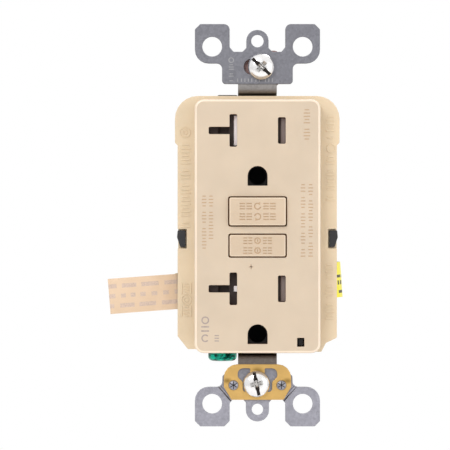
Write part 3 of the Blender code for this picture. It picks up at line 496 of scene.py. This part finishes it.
def cad_shape(node):
    """A CAD node's solid with its split points merged and its flat faces joined up."""
    source = frame["nodes"][node].data
    shape = bmesh.new()
    points = [shape.verts.new(vertex.co) for vertex in source.vertices]
    for polygon in source.polygons:
        shape.faces.new([points[i] for i in polygon.vertices])
    bmesh.ops.remove_doubles(shape, verts=shape.verts, dist=0.002 * MM)
    bmesh.ops.dissolve_degenerate(shape, edges=shape.edges, dist=0.002 * MM)
    bmesh.ops.dissolve_limit(shape, angle_limit=math.radians(1.0), verts=shape.verts, edges=shape.edges)
    return shape


def add_finishes(made, *slots):
    for slot in slots:
        made.data.materials.append(FINISHES[slot].material)


def link(made):
    bpy.context.scene.collection.objects.link(made)
    return made


def object_of(name, shape, slot):
    """An object made from a shape, with one finish."""
    bmesh.ops.recalc_face_normals(shape, faces=shape.faces)
    mesh = bpy.data.meshes.new(name)
    shape.to_mesh(mesh)
    shape.free()
    made = link(bpy.data.objects.new(name, mesh))
    add_finishes(made, slot)
    return made


def piece(name, shape, slot, body, replaced=(), smooth=SMOOTH_ANGLE, weighted=True):
    """Makes an object from a shape, gives it its finish and lets it ride on a body."""
    made = object_of(name, shape, slot)
    polish(made, smooth, weighted)
    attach(made, body)
    if replaced:
        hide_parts(*replaced)
    return made


def polish(made, smooth=SMOOTH_ANGLE, weighted=True):
    made.data.shade_smooth()
    made.data.set_sharp_from_angle(angle=math.radians(smooth))
    if weighted:
        made.modifiers.new("normals", "WEIGHTED_NORMAL").keep_sharp = True


def carve(made, cutter, slot):
    """Cuts a shape out of a piece; the cut faces take a finish of their own."""
    tool = object_of("cutter", cutter, slot)
    made.modifiers.clear()
    boolean = made.modifiers.new("carve", "BOOLEAN")
    boolean.operation = "DIFFERENCE"
    boolean.solver = "EXACT"
    boolean.use_self = True
    boolean.object = tool
    boolean.material_mode = "TRANSFER"
    bpy.context.view_layer.update()
    result = bpy.data.meshes.new_from_object(made.evaluated_get(bpy.context.evaluated_depsgraph_get()))
    made.modifiers.clear()
    made.data = result
    bpy.data.objects.remove(tool)
    polish(made)


def body_of(node):
    return frame["nodes"][node]["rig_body"]


def centre_of(node):
    low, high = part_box(node)
    return (low + high) / 2 / MM


def front_of(node):
    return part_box(node)[0].y / MM


def refined(node, slot, width, segments=2, angle=40, name=None, pick=None):
    """A finer copy of a CAD node with rounded edges, which stands for it."""
    shape = cad_shape(node)
    if width:
        rounded_edges(shape, width, segments, angle, pick)
    return piece(name or node + "_finished", shape, slot, body_of(node), [node])


# --- Front cover and buttons ---

def add_ticks(shape, x, z_from, z_to, groups, depth_range, width=1.2, stroke=0.28, pitch=0.85):
    """A column of short bars in groups, a neutral stand-in for moulded lettering."""
    direction = -1 if z_to < z_from else 1
    z = z_from
    for count in groups:
        for number in range(count):
            if (z - z_to) * direction > 0:
                return
            half = width / 2 * (1.0 if number % 3 else 0.72)
            add_box(shape, (x - half, depth_range[0], z - stroke / 2),
                    (x + half, depth_range[1], z + stroke / 2))
            z += direction * pitch
        z += direction * pitch


def add_ring(shape, x, z, radius, stroke, depth_range, start=0, sweep=360, steps=20):
    """An engraved or raised ring, or an arc of one, facing the front."""
    inner = radius - stroke / 2
    outer = radius + stroke / 2
    whole = sweep >= 360
    count = steps if whole else steps + 1
    loops = []
    for radial, depth in ((inner, depth_range[0]), (outer, depth_range[0]),
                          (outer, depth_range[1]), (inner, depth_range[1])):
        loop = []
        for step in range(count):
            angle = math.radians(start + sweep * step / steps)
            loop.append(shape.verts.new(Vector((x + radial * math.cos(angle), depth,
                                                z + radial * math.sin(angle))) * MM))
        loops.append(loop)
    join_rings(shape, loops + loops[:1], whole)
    if not whole:
        shape.faces.new([loop[0] for loop in loops])
        shape.faces.new([loop[-1] for loop in loops][::-1])


def is_rim(point):
    """Whether a point of the cover lies on the outer edge of its face."""
    return abs(point.x) > 15.4 or point.z > 32.0 or point.z < -32.4


def leans(polygon):
    """Whether a polygon belongs to a bevel between a front and a wall."""
    return 0.05 < -polygon.normal.y < 0.97


def front_cover():
    face = front_of("front_cover")

    def clear_of_the_lower_edge(edge):
        return any(point.co.z / MM > -32.9 or point.co.y / MM < -7.0 for point in edge.verts)

    cover = refined("front_cover", "ivory_plastic", 0.13, 2, 42, "front_cover_moulding",
                    clear_of_the_lower_edge)
    cut_depth = (face - 0.5, face + 0.07)
    marks = bmesh.new()
    for x, groups in ((-14.0, (4, 4, 7)), (-12.2, (4, 9))):
        add_ticks(marks, x, 7.6, -8.6, groups, cut_depth)
    for x, groups in ((11.9, (3, 4, 5, 4, 3)), (13.9, (4, 7, 4, 5))):
        add_ticks(marks, x, 10.6, -11.0, groups, cut_depth)
    add_ticks(marks, 12.9, 30.2, 21.2, (5, 4), cut_depth, 1.7)
    add_box(marks, (-2.3, cut_depth[0], -11.0), (-1.1, cut_depth[1], -10.8))
    add_box(marks, (-1.8, cut_depth[0] + 0.1, -11.5), (-1.6, cut_depth[1] + 0.1, -10.3))
    # The engraved faces take a darker tan, painted shade
    carve(cover, marks, "ivory_engraved")
    add_finishes(cover, "ivory_flange", "ivory_rim", "ivory_shade")
    flange, rim, wall = 2, 3, 4
    for polygon in cover.data.polygons:
        centre = polygon.center / MM
        # Painted light on the flange
        if centre.y > FLANGE_LIMIT:
            polygon.material_index = flange
        # Painted highlight on the face's rounded rim
        elif leans(polygon) and centre.y < face + 0.75:
            polygon.material_index = rim if is_rim(centre) else 0
        # Painted shade on the walls of the openings round the buttons
        elif abs(polygon.normal.y) < 0.05 and not is_rim(centre):
            polygon.material_index = wall
    liners = bmesh.new()
    for side in (1, -1):
        low, high = sorted((side * 18.6, side * 20.85))
        add_box(liners, (low, 0.6, -6.3), (high, 1.6, -0.8))
    piece("hook_notch_liners", liners, "ivory_flange", "housing")


def flange_relief():
    """Raised scales, rings and a frame on the flange beside the face."""
    depth = (FLANGE_FRONT - 0.2, FLANGE_FRONT + 0.2)
    relief = bmesh.new()
    add_ring(relief, -19.05, 24.4, 1.35, 0.26, depth)
    add_ring(relief, -19.05, 24.4, 0.55, 0.24, depth, steps=12)
    add_ticks(relief, -18.9, 21.2, -1.0, (6, 3, 9, 4), depth, 2.5, 0.42, 0.98)
    add_ring(relief, -18.7, -19.6, 1.3, 0.26, depth)
    add_ring(relief, -18.7, -19.6, 0.6, 0.22, depth, steps=12)
    for low, high in ((-18.0, -15.2), (-24.0, -21.2)):
        add_box(relief, (-20.1, depth[0], low), (-19.75, depth[1], high))
        add_box(relief, (-17.7, depth[0], low), (-17.35, depth[1], high))
        add_ticks(relief, -18.7, high - 0.3, low, (4,), depth, 1.5, 0.3, 0.8)
    add_ring(relief, 19.4, 20.2, 1.1, 0.26, depth)
    add_ticks(relief, 19.2, 28.6, 22.4, (5, 3), depth, 2.2, 0.38, 0.95)
    add_ticks(relief, 19.2, 18.0, 6.0, (3, 6, 2), depth, 2.2, 0.38, 0.95)
    add_ticks(relief, 19.0, -10.4, -25.5, (5, 4, 6), depth, 2.2, 0.38, 0.95)
    rounded_edges(relief, 0.05, 1, 60)
    piece("flange_relief", relief, "ivory_flange", "housing")


def face_print():
    """Grey pad-printed marks at the lower left of the face: plain bars and a ring."""
    face = front_of("front_cover")
    depth = (face - 0.012, face + 0.05)
    ink = bmesh.new()
    add_ring(ink, -13.7, -24.9, 0.85, 0.36, depth)
    for z in (-26.6, -27.7):
        add_box(ink, (-14.75, depth[0], z - 0.19), (-12.7, depth[1], z + 0.19))
    add_ring(ink, -13.7, -29.6, 0.85, 0.36, depth, 40, 280)
    for z in (-28.9, -29.6, -30.3):
        add_box(ink, (-11.25, depth[0], z - 0.15), (-10.1, depth[1], z + 0.15))
    piece("face_print", ink, "grey_print", "housing", weighted=False)


def add_reset_icon(shape, z, flip, depth):
    """Most of a ring with an arrow head at its open end, turned half round when flip is negative."""
    start = 60 if flip > 0 else 240
    radius = 0.78
    add_ring(shape, 0.0, z, radius, 0.3, depth, start, 285, 24)
    tip = math.radians(start)
    head = frame_at((radius * math.cos(tip), depth[0], z + radius * math.sin(tip)), (0, -1, 0),
                    -30 if flip > 0 else 150)
    made = bmesh.ops.create_cone(shape, cap_ends=True, segments=3, radius1=0.5 * MM, radius2=0.5 * MM,
                                 depth=1.7 * abs(depth[1] - depth[0]) * MM)["verts"]
    bmesh.ops.transform(shape, matrix=head, verts=made)


def add_test_icon(shape, z, flip, depth):
    """A ring with a bar through it, which looks the same when it is flipped."""
    add_ring(shape, 0.0, z, 0.72, 0.3, depth, steps=24)
    add_box(shape, (-0.14, depth[0], z - 0.34), (0.14, depth[1], z + 0.34))


def button_cap(node, z, half_row, bars, icon):
    """A button with two rows of engraved marks, the lower one upside down."""
    button = refined(node, "ivory_button", 0.12, 2, 42, node + "_cap")
    front = front_of(node)
    depth = (front - 0.6, front + 0.16)
    marks = bmesh.new()
    for flip in (1, -1):
        row = z + flip * half_row
        icon(marks, row, flip, depth)
        for near, far in bars:
            for side in (1, -1):
                low, high = sorted((side * near, side * far))
                for level in (0.7, 0.0, -0.7):
                    add_box(marks, (low, depth[0], row + level - 0.14), (high, depth[1], row + level + 0.14))
    # The engraved faces take a darker tan, painted shade
    carve(button, marks, "ivory_engraved")
    # Painted highlight on the button's rounded front edge
    add_finishes(button, "button_rim")
    for polygon in button.data.polygons:
        if leans(polygon) and polygon.center.y / MM < front + 0.55 and polygon.material_index == 0:
            polygon.material_index = 2


def button_skirt(node, z, width, height):
    """The flange behind a button's opening, which closes the gap round the button; it is reddish brown,
    painted shade.
    """
    skirt = bmesh.new()
    add_box(skirt, (-width / 2, SKIRT_FRONT, z - height / 2), (width / 2, SKIRT_FRONT + 0.5, z + height / 2))
    rounded_edges(skirt, 0.08)
    piece(node + "_skirt", skirt, "ivory_shade", body_of(node))


def buttons():
    button_cap("reset_button", RESET_Z, 1.37, ((1.5, 2.9), (3.3, 4.7)), add_reset_icon)
    button_cap("test_button", TEST_Z, 1.3, ((1.4, 2.4), (2.7, 3.7)), add_test_icon)
    button_skirt("reset_button", RESET_Z, 16.4, 8.7)
    button_skirt("test_button", TEST_Z, 16.2, 7.1)


# --- Shutters and contacts behind the slots ---

def shutters():
    """Each shutter gets a polished ramp under its neutral slot, which a blade pushes aside."""
    for where, z in OUTLETS.items():
        node = "shutter_" + where
        # The slides, webs and retainers are near-black brown and the hot ramps dark grey: painted shade in
        # the slots
        refined(node, "shutter_plastic", 0.1, name=node + "_slide")
        front = front_of(node)
        reach = 3.9 if where == "upper" else 0.75
        ramp = bmesh.new()
        add_slab(ramp, [(-6.75, front + 2.3), (-6.75, front + 1.6), (-6.3, front + 0.1), (-6.0, front - 0.2),
                        (-4.7, front - 0.2), (-4.7, front + 2.3)], z - reach, z + reach)
        rounded_edges(ramp, 0.1, 2, 30)
        piece(node + "_ramp", ramp, "ramp_plastic", node)
        ramp = bmesh.new()
        add_slab(ramp, [(5.2, front + 2.3), (5.2, front + 1.9), (6.1, front - 0.1), (6.5, front - 0.2),
                        (8.4, front - 0.2), (8.4, front + 2.3)], z - 3.3, z + 3.3)
        rounded_edges(ramp, 0.12, 2, 30)
        piece(node + "_hot_ramp", ramp, "hot_ramp_plastic", node)
        web = bmesh.new()
        add_slab(web, [(-10.4, front + 2.3), (-10.4, front + 1.3), (-7.5, front + 0.6), (-7.5, front + 2.3)],
                 z - 1.3, z + 1.3)
        piece(node + "_web", web, "shutter_plastic", node)
        refined("shutter_retainer_" + where, "shutter_plastic", 0.1)


def ground_contacts():
    """The brass sleeves, each with a near-black liner inside it, painted shade."""
    for where in OUTLETS:
        node = "ground_contact_" + where
        refined(node, "brass_contact", 0.08)
        # A near-black tube and ring in the hole: painted shade
        shade_liner = bmesh.new()
        place = frame_at((0.0, 4.1, centre_of(node).z), (0, -1, 0))
        add_turned(shade_liner, [(0.0, 0.0), (2.5, 0.0), (2.5, 9.2), (2.3, 9.2), (2.3, 0.4), (0.0, 0.4)],
                   place, 40)
        add_ring(shade_liner, 0.0, centre_of(node).z, 3.15, 1.5, (-6.1, -5.6), steps=40)
        piece(node + "_grommet", shade_liner, "dark_bore", "housing")


# --- Screws ---

def add_cross(cutter, place, top, half, width, depth):
    """A tapered cross in the middle of a head, round a small square pocket."""
    tip = 0.25
    mouth = tip + (math.sqrt(2) * half - tip) * (depth + 1.0) / depth
    for quarter in (0, 90):
        made = bmesh.ops.create_cone(cutter, cap_ends=True, segments=4, radius1=tip * MM,
                                     radius2=mouth * MM, depth=(depth + 1.0) * MM)["verts"]
        turn = place @ Matrix.Rotation(math.radians(quarter), 4, "Z")
        lift = Matrix.Translation((0, 0, (top + 0.5 - depth / 2) * MM))
        narrow = Matrix.Diagonal((1.0, width / half / 2, 1.0, 1.0))
        diagonal = Matrix.Rotation(math.radians(45), 4, "Z")
        bmesh.ops.transform(cutter, matrix=turn @ lift @ narrow @ diagonal, verts=made)
    add_box(cutter, (-width * 0.72, -width * 0.72, top - depth * 0.45),
            (width * 0.72, width * 0.72, top + 1.1), place)


def screw(name, node, slot, centre, axis, head, shank, recess, spin):
    """A machine screw: head profile up from its seat, threaded shank (radius, length) below it.

    The recess is a slot (half length, width) and a cross (half length, width, depth)."""
    place = frame_at(centre, axis, spin)
    shape = bmesh.new()
    add_turned(shape, head, place)
    made = piece(name, shape, slot, body_of(node), [node])
    top = max(height for radius, height in head)
    slot_half, slot_width, cross_half, cross_width, depth = recess
    # Painted shade: the slot's faces are near black and the cross's faces a darker grey metal
    cutter = bmesh.new()
    add_box(cutter, (-slot_half, -slot_width / 2, top - depth * 0.55),
            (slot_half, slot_width / 2, top + 1.0), place)
    carve(made, cutter, "screw_recess")
    cutter = bmesh.new()
    add_cross(cutter, place, top, cross_half, cross_width, depth)
    carve(made, cutter, "screw_cross")
    radius, length = shank
    thread = bmesh.new()
    foot = Vector(centre) - Vector(axis).normalized() * length
    add_thread(thread, radius, 0.30, length + 0.05, frame_at(foot, axis, spin))
    piece(name + "_thread", thread, slot, body_of(node), smooth=50, weighted=False)


def mounting_screws():
    """Pan heads whose slot runs right across them, with a cross in the middle."""
    head = [(0.0, 0.0), (3.2, 0.0), (3.42, 0.06), (3.5, 0.2), (3.5, 0.75), (3.46, 1.0), (3.32, 1.3),
            (3.05, 1.62), (2.6, 1.95), (2.0, 2.15), (1.0, 2.26), (0.0, 2.28)]
    for where, seat, spin in (("upper", -1.6, -42.0), ("lower", -2.4, -78.0)):
        node = where + "_mounting_screw"
        centre = centre_of(node)
        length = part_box(node)[1].y / MM - seat
        screw(node + "_head", node, "nickel_screw", (centre.x, seat, centre.z), (0, -1, 0), head,
              (1.72, length), (3.9, 0.85, 1.75, 1.15, 1.35), spin)
    for where in ("upper", "lower"):
        refined(where + "_screw_retainer", "red_fibre", 0.06, 1, 40)


def ground_screw():
    low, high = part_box("ground_screw")
    centre = centre_of("ground_screw")
    head = [(0.0, 0.0), (3.55, 0.0), (3.75, 0.08), (3.8, 0.25), (3.8, 1.2), (3.74, 1.6), (3.55, 1.95),
            (3.2, 2.25), (2.7, 2.42), (2.0, 2.48), (0.0, 2.5)]
    seat = low.z / MM + head[-1][1]
    screw("ground_screw_head", "ground_screw", "green_screw", (centre.x, centre.y, seat), (0, 0, -1), head,
          (2.0, high.z / MM - seat), (4.2, 0.95, 1.6, 0.9, 1.2), 20.0)


def terminal_screws():
    """Wide heads with a straight slot and a cross, brass on the hot side and plated on the other."""
    for pole, side, slot in (("hot", 1, "brass_contact"), ("neutral", -1, "tinned_contact")):
        for group, spin in (("line", 25.0), ("load", -40.0)):
            node = "%s_%s_screw" % (pole, group)
            low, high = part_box(node)
            centre = centre_of(node)
            outer = (high.x if side > 0 else -low.x) / MM
            inner = (low.x if side > 0 else -high.x) / MM
            radius = (high.z - low.z) / MM / 2
            tall = 2.0
            head = [(0.0, 0.0), (radius - 0.25, 0.0), (radius, 0.2), (radius, tall - 0.5),
                    (radius - 0.12, tall - 0.22), (radius - 0.4, tall - 0.04), (radius - 0.8, tall),
                    (0.0, tall)]
            screw(node + "_head", node, slot, (side * (outer - tall), centre.y, centre.z), (side, 0, 0), head,
                  (2.0, outer - tall - inner), (radius + 1, 0.9, 1.5, 0.9, 1.2), spin)


def housing_screws():
    """Small self-tapping screws sunk in the back of the body."""
    for number in range(1, 5):
        node = "housing_screw_%d" % number
        low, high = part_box(node)
        centre = centre_of(node)
        head = [(0.0, 0.0), (2.2, 0.0), (2.38, 0.1), (2.4, 0.3), (2.36, 0.75), (2.15, 1.1), (1.7, 1.32),
                (0.9, 1.39), (0.0, 1.4)]
        tall = head[-1][1]
        screw(node + "_head", node, "plated_steel", (centre.x, high.y / MM - tall, centre.z), (0, 1, 0), head,
              (1.3, (high.y - low.y) / MM - tall), (0.6, 0.5, 1.25, 0.75, 0.95), 17.0 * number)


# --- Strap, clip and rivets ---

def strap():
    bar = refined("mounting_strap", "galvanised_steel", 0.14, name="mounting_strap_sheet")
    front = front_of("mounting_strap")
    depth = (front - 0.4, front + 0.2)
    stamps = bmesh.new()
    add_ring(stamps, -6.9, 43.4, 0.62, 0.22, depth, steps=14)
    add_ticks(stamps, -6.9, 42.2, 37.9, (3, 2, 1), depth, 1.3, 0.22, 0.6)
    for x in (-5.2, -4.2, -3.3, -2.4, -1.5, -0.4, 0.5, 2.1, 3.0, 3.9):
        add_box(stamps, (x - 0.12, depth[0], 37.7), (x + 0.12, depth[1], 38.6))
    carve(bar, stamps, "plated_steel")


def grounding_clip():
    refined("grounding_clip", "brass_sheet", 0.09, name="grounding_clip_sheet")
    for side, x in (("left", -6.3), ("right", 6.3)):
        node = "clip_rivet_" + side
        place = frame_at((x, -0.2, centre_of(node).z), (0, -1, 0))
        shape = bmesh.new()
        add_turned(shape, [(0.0, 0.0), (1.05, 0.0), (1.05, 1.9), (1.28, 1.92), (1.32, 2.1), (1.2, 2.42),
                           (0.9, 2.6), (0.5, 2.66), (0.0, 2.62)], place, 32)
        head = piece(node + "_head", shape, "galvanised_steel", "housing", [node])
        dents = bmesh.new()
        for spin in (30, 90, 150):          # the tops differ a little, so that no two faces coincide
            add_box(dents, (-1.0, -0.1, 2.2), (1.0, 0.1, 3.2 + spin / 1000),
                    place @ Matrix.Rotation(math.radians(spin), 4, "Z"))
        # Painted shade: the dents' faces are near black
        carve(head, dents, "screw_recess")


# --- Back body ---

def back_body():
    refined("back_body", "black_plastic", 0.15, 2, 60, "back_body_moulding")
    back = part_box("back_body")[1].y / MM
    depth = (back - 0.2, back)
    refined("middle_frame", "frame_plastic", 0.12)
    relief = bmesh.new()
    for side in (1, -1):
        for level in (14.5, -14.5):
            for offset in (3.1, -3.1):
                add_ring(relief, side * 16.0, level + offset, 1.75, 0.3, depth)
    rounded_edges(relief, 0.06, 1, 60)
    piece("wire_hole_collars", relief, "black_plastic", "housing")


# --- Terminals and the works inside ---

def plain_parts():
    """Parts whose CAD shape is right: fine edges and a finish."""
    table = [("light_pipe", "clear_plastic", 0.06), ("indicator_led", "clear_plastic", 0.06),
             ("reset_pin", "spring_steel", 0.06), ("circuit_board", "board_laminate", 0.0),
             ("controller_chip", "chip_epoxy", 0.06), ("differential_core", "ferrite", 0.12),
             ("neutral_core", "ferrite", 0.12), ("transformer_cup", "frame_plastic", 0.1),
             ("solenoid_bobbin", "frame_plastic", 0.08), ("solenoid_plunger", "plated_steel", 0.08),
             ("latch_slide", "plated_steel", 0.06), ("contact_lifter", "frame_plastic", 0.12),
             ("hot_contact_arm", "copper_sheet", 0.05), ("neutral_contact_arm", "copper_sheet", 0.05),
             ("surge_varistor", "varistor_coating", 0.3), ("filter_capacitor", "ivory_plastic", 0.3),
             ("test_leaf", "copper_sheet", 0.05)]
    for pole, slot in (("hot", "brass_contact"), ("neutral", "tinned_contact")):
        for group in ("line", "load"):
            table.append(("%s_%s_terminal" % (pole, group), slot, 0.08))
            table.append(("%s_%s_clamp" % (pole, group), "plated_steel", 0.12))
    for node, slot, width in table:
        refined(node, slot, width)


def winding():
    """Turns of wire round the bobbin, which stands along Z."""
    node = "solenoid_coil"
    low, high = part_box(node)
    centre = centre_of(node)
    radius = (high.x - low.x) / MM / 2
    wire = 0.17
    turns = int((high.z - low.z) / MM / (2 * wire))
    points = []
    for step in range(turns * 24 + 1):
        angle = math.tau * step / 24
        height = low.z / MM + wire + (high.z - low.z - 2 * wire * MM) / MM * step / (turns * 24)
        points.append((centre.x + (radius - wire) * math.cos(angle),
                       centre.y + (radius - wire) * math.sin(angle), height))
    shape = bmesh.new()
    add_tube(shape, points, wire, 6)
    tall = (high.z - low.z) / MM
    add_turned(shape, [(0.0, 0.0), (radius - wire, 0.0), (radius - wire, tall), (0.0, tall)],
               frame_at((centre.x, centre.y, low.z / MM), (0, 0, 1)), 32)
    piece("solenoid_winding", shape, "copper_winding", body_of(node), [node], smooth=60, weighted=False)


def spring(node, axis, turns, wire):
    """A coil spring with closed end turns."""
    low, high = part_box(node)
    centre = centre_of(node)
    along = Vector(axis)
    across = Vector((0, 0, 1)) if abs(along.z) < 0.5 else Vector((1, 0, 0))
    third = along.cross(across)
    size = (high - low) / MM
    length = abs(size.dot(along))
    radius = sorted(size)[1] / 2 - wire if length == max(size) else max(size) / 2 - wire
    points = []
    steps = turns * 20
    for step in range(steps + 1):
        share = step / steps
        turned_share = share * turns
        rise = min(max((turned_share - 0.8) / (turns - 1.6), 0.0), 1.0)
        offset = -length / 2 + wire + (length - 2 * wire) * (rise * 0.94 + share * 0.06)
        angle = math.tau * turned_share
        points.append(centre + along * offset + (across * math.cos(angle) + third * math.sin(angle)) * radius)
    shape = bmesh.new()
    add_tube(shape, points, wire, 8)
    made = piece(node + "_coil", shape, "spring_steel", body_of(node), [node], smooth=60, weighted=False)
    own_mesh(made)


def works():
    plain_parts()
    winding()
    spring("reset_spring", (0, 1, 0), 6, 0.18)
    spring("test_spring", (0, 1, 0), 6, 0.15)
    for where in OUTLETS:
        spring("shutter_spring_" + where, (1, 0, 0), 6, 0.11)
    spring("plunger_spring", (0, 0, 1), 5, 0.13)


# --- Tape over the load terminals ---

TAPE_WIDTH = 9.3
TAPE_THICK = 0.22
TAPE_SLANT = math.radians(4.2)
TAPE_Z = -15.95
# (x, y, rounding of the corner) of the tape's centre line, from the right side to the loose end
TAPE_PATH = [(20.6, 5.2, 0.0), (21.6, 7.4, 3.0), (22.35, 11.5, 5.0), (22.1, 19.0, 6.0), (21.5, 25.8, 2.5),
             (20.3, 29.25, 1.0), (-20.3, 29.25, 1.0), (-21.5, 25.8, 2.5), (-21.5, 12.0, 1.5),
             (-20.7, 9.6, 1.5), (-20.7, 6.25, 0.7), (-27.0, 6.0, 4.0), (-34.0, 5.4, 6.0),
             (-39.15, 4.05, 0.0)]
TAPE_COLUMNS = 25


def tape_line():
    """The tape's centre line seen from above, with its corners rounded, every 0.5 mm or so."""
    corners = [Vector(point[:2]) for point in TAPE_PATH]
    line = [corners[0]]
    for i in range(1, len(corners) - 1):
        before = corners[i - 1] - corners[i]
        after = corners[i + 1] - corners[i]
        reach = min(TAPE_PATH[i][2], before.length * 0.49, after.length * 0.49)
        start = corners[i] + before.normalized() * reach
        end = corners[i] + after.normalized() * reach
        for step in range(7):
            share = step / 6
            line.append(start * (1 - share) ** 2 + corners[i] * 2 * share * (1 - share) + end * share ** 2)
    line.append(corners[-1])
    fine = [line[0]]
    for point in line[1:]:
        gap = point - fine[-1]
        parts = max(1, round(gap.length / 0.5))
        start = fine[-1].copy()
        for part in range(1, parts + 1):
            fine.append(start + gap * part / parts)
    return fine


def tape_surface():
    """Points of the tape: rows along its length, columns across its width, and their normals."""
    line = tape_line()
    rows = []
    travelled = 0.0
    for i, point in enumerate(line):
        if i:
            travelled += (point - line[i - 1]).length
        along = (line[min(i + 1, len(line) - 1)] - line[max(i - 1, 0)]).normalized()
        normal = Vector((along.y, -along.x))
        loose = min(max((-point.x - 22.5) / 16.0, 0.0), 1.0)
        row = []
        for column in range(TAPE_COLUMNS + 1):
            across = column / TAPE_COLUMNS - 0.5
            curl = loose * (0.55 * math.sin(travelled * 0.32) * across + 0.9 * across * across
                            + 0.10 * math.sin(travelled * 0.9 + across * 4.0))
            ripple = (1 - loose) * 0.035 * math.sin(travelled * 1.7 + across * 5.0)
            place = point + normal * (curl + ripple)
            z = across * TAPE_WIDTH
            x = place.x * math.cos(TAPE_SLANT) - z * math.sin(TAPE_SLANT)
            height = place.x * math.sin(TAPE_SLANT) + z * math.cos(TAPE_SLANT) + TAPE_Z
            row.append((Vector((x, place.y, height)), Vector((normal.x, normal.y, 0.0))))
        rows.append(row)
    return rows


def has_print(i, j, lines):
    """Whether a patch of tape belongs to a bar of print: lines of bars with uneven gaps."""
    for number, columns in enumerate(lines):
        if j in columns:
            word = (i + 7 * number) // 3
            return word * (5 + number) % 4 != 0
    return False


def tape():
    rows = tape_surface()
    shape = bmesh.new()
    layers = []
    for side in (1, -1):
        layers.append([[shape.verts.new((point + normal * side * TAPE_THICK / 2) * MM)
                        for point, normal in row] for row in rows])
    outer, inner = layers
    last = len(rows) - 1
    for i in range(last):
        for j in range(TAPE_COLUMNS):
            front = shape.faces.new((outer[i][j], outer[i + 1][j], outer[i + 1][j + 1], outer[i][j + 1]))
            front.material_index = 3 if has_print(i, j, ((3, 4), (9, 10, 11), (14, 15), (19, 20, 21))) else 1
            back = shape.faces.new((inner[i][j], inner[i][j + 1], inner[i + 1][j + 1], inner[i + 1][j]))
            back.material_index = 2 if has_print(i, j, ((4, 5, 6), (11, 12, 13), (18, 19, 20))) else 0
        for j in (0, TAPE_COLUMNS):
            shape.faces.new((outer[i][j], outer[i + 1][j], inner[i + 1][j], inner[i][j]))
    for i in (0, last):
        for j in range(TAPE_COLUMNS):
            shape.faces.new((outer[i][j], outer[i][j + 1], inner[i][j + 1], inner[i][j]))
    made = piece("terminal_tape_strip", shape, "paper_tape", "housing", ["terminal_tape"], smooth=45,
                 weighted=False)
    add_finishes(made, "tape_printed", "tape_ghost", "tape_ink")


# --- Stage, light and camera ---

def studio():
    floor = bmesh.new()
    add_box(floor, (-3000, -3000, -310), (3000, 3000, -300))
    object_of("studio_floor", floor, "floor")

    scene = bpy.context.scene
    scene.world = bpy.data.worlds.new("studio")
    tree = NodeTree(scene.world)
    height = tree.add("SeparateXYZ", {"Vector": tree.add("TexCoord")["Generated"]})["Z"]
    strength = tree.map_range(height, 0.72, 1.02, -0.6, 0.9)
    cast = tree.add("Background", {"Color": (1.0, 0.995, 0.985), "Strength": strength})[0]
    seen = tree.add("Background", {"Color": (1.0, 1.0, 1.0), "Strength": 1.0})[0]
    chosen = tree.add("MixShader", {0: tree.add("LightPath")["Is Camera Ray"], 1: cast, 2: seen})[0]
    tree.add("OutputWorld", {"Surface": chosen})

    lamps = [("key_light", (-0.42, -1.1, 0.62), 0.5, 4.9), ("fill_light", (0.8, -0.9, 0.0), 0.8, 2.4),
             ("rim_light", (0.3, 0.5, 0.9), 0.6, 3.0)]
    for name, place, size, power in lamps:
        light = bpy.data.lights.new(name, "AREA")
        light.size = size
        light.energy = power
        lamp = link(bpy.data.objects.new(name, light))
        lamp.location = place
        lamp.rotation_mode = "QUATERNION"
        lamp.rotation_quaternion = Vector(place).to_track_quat("Z", "Y")

    eye = bpy.data.cameras.new("camera")
    eye.sensor_width = 36.0
    eye.lens = 456.0
    eye.clip_end = 20.0
    camera = link(bpy.data.objects.new("camera", eye))
    camera.location = (-0.00853, -1.5, 0.00005)
    camera.rotation_euler = (math.radians(90), 0, 0)
    scene.camera = camera
    scene.view_settings.view_transform = "Standard"
    scene.view_settings.look = "None"


studio()
front_cover()
flange_relief()
face_print()
buttons()
shutters()
ground_contacts()
mounting_screws()
ground_screw()
terminal_screws()
housing_screws()
strap()
grounding_clip()
back_body()
works()
tape()
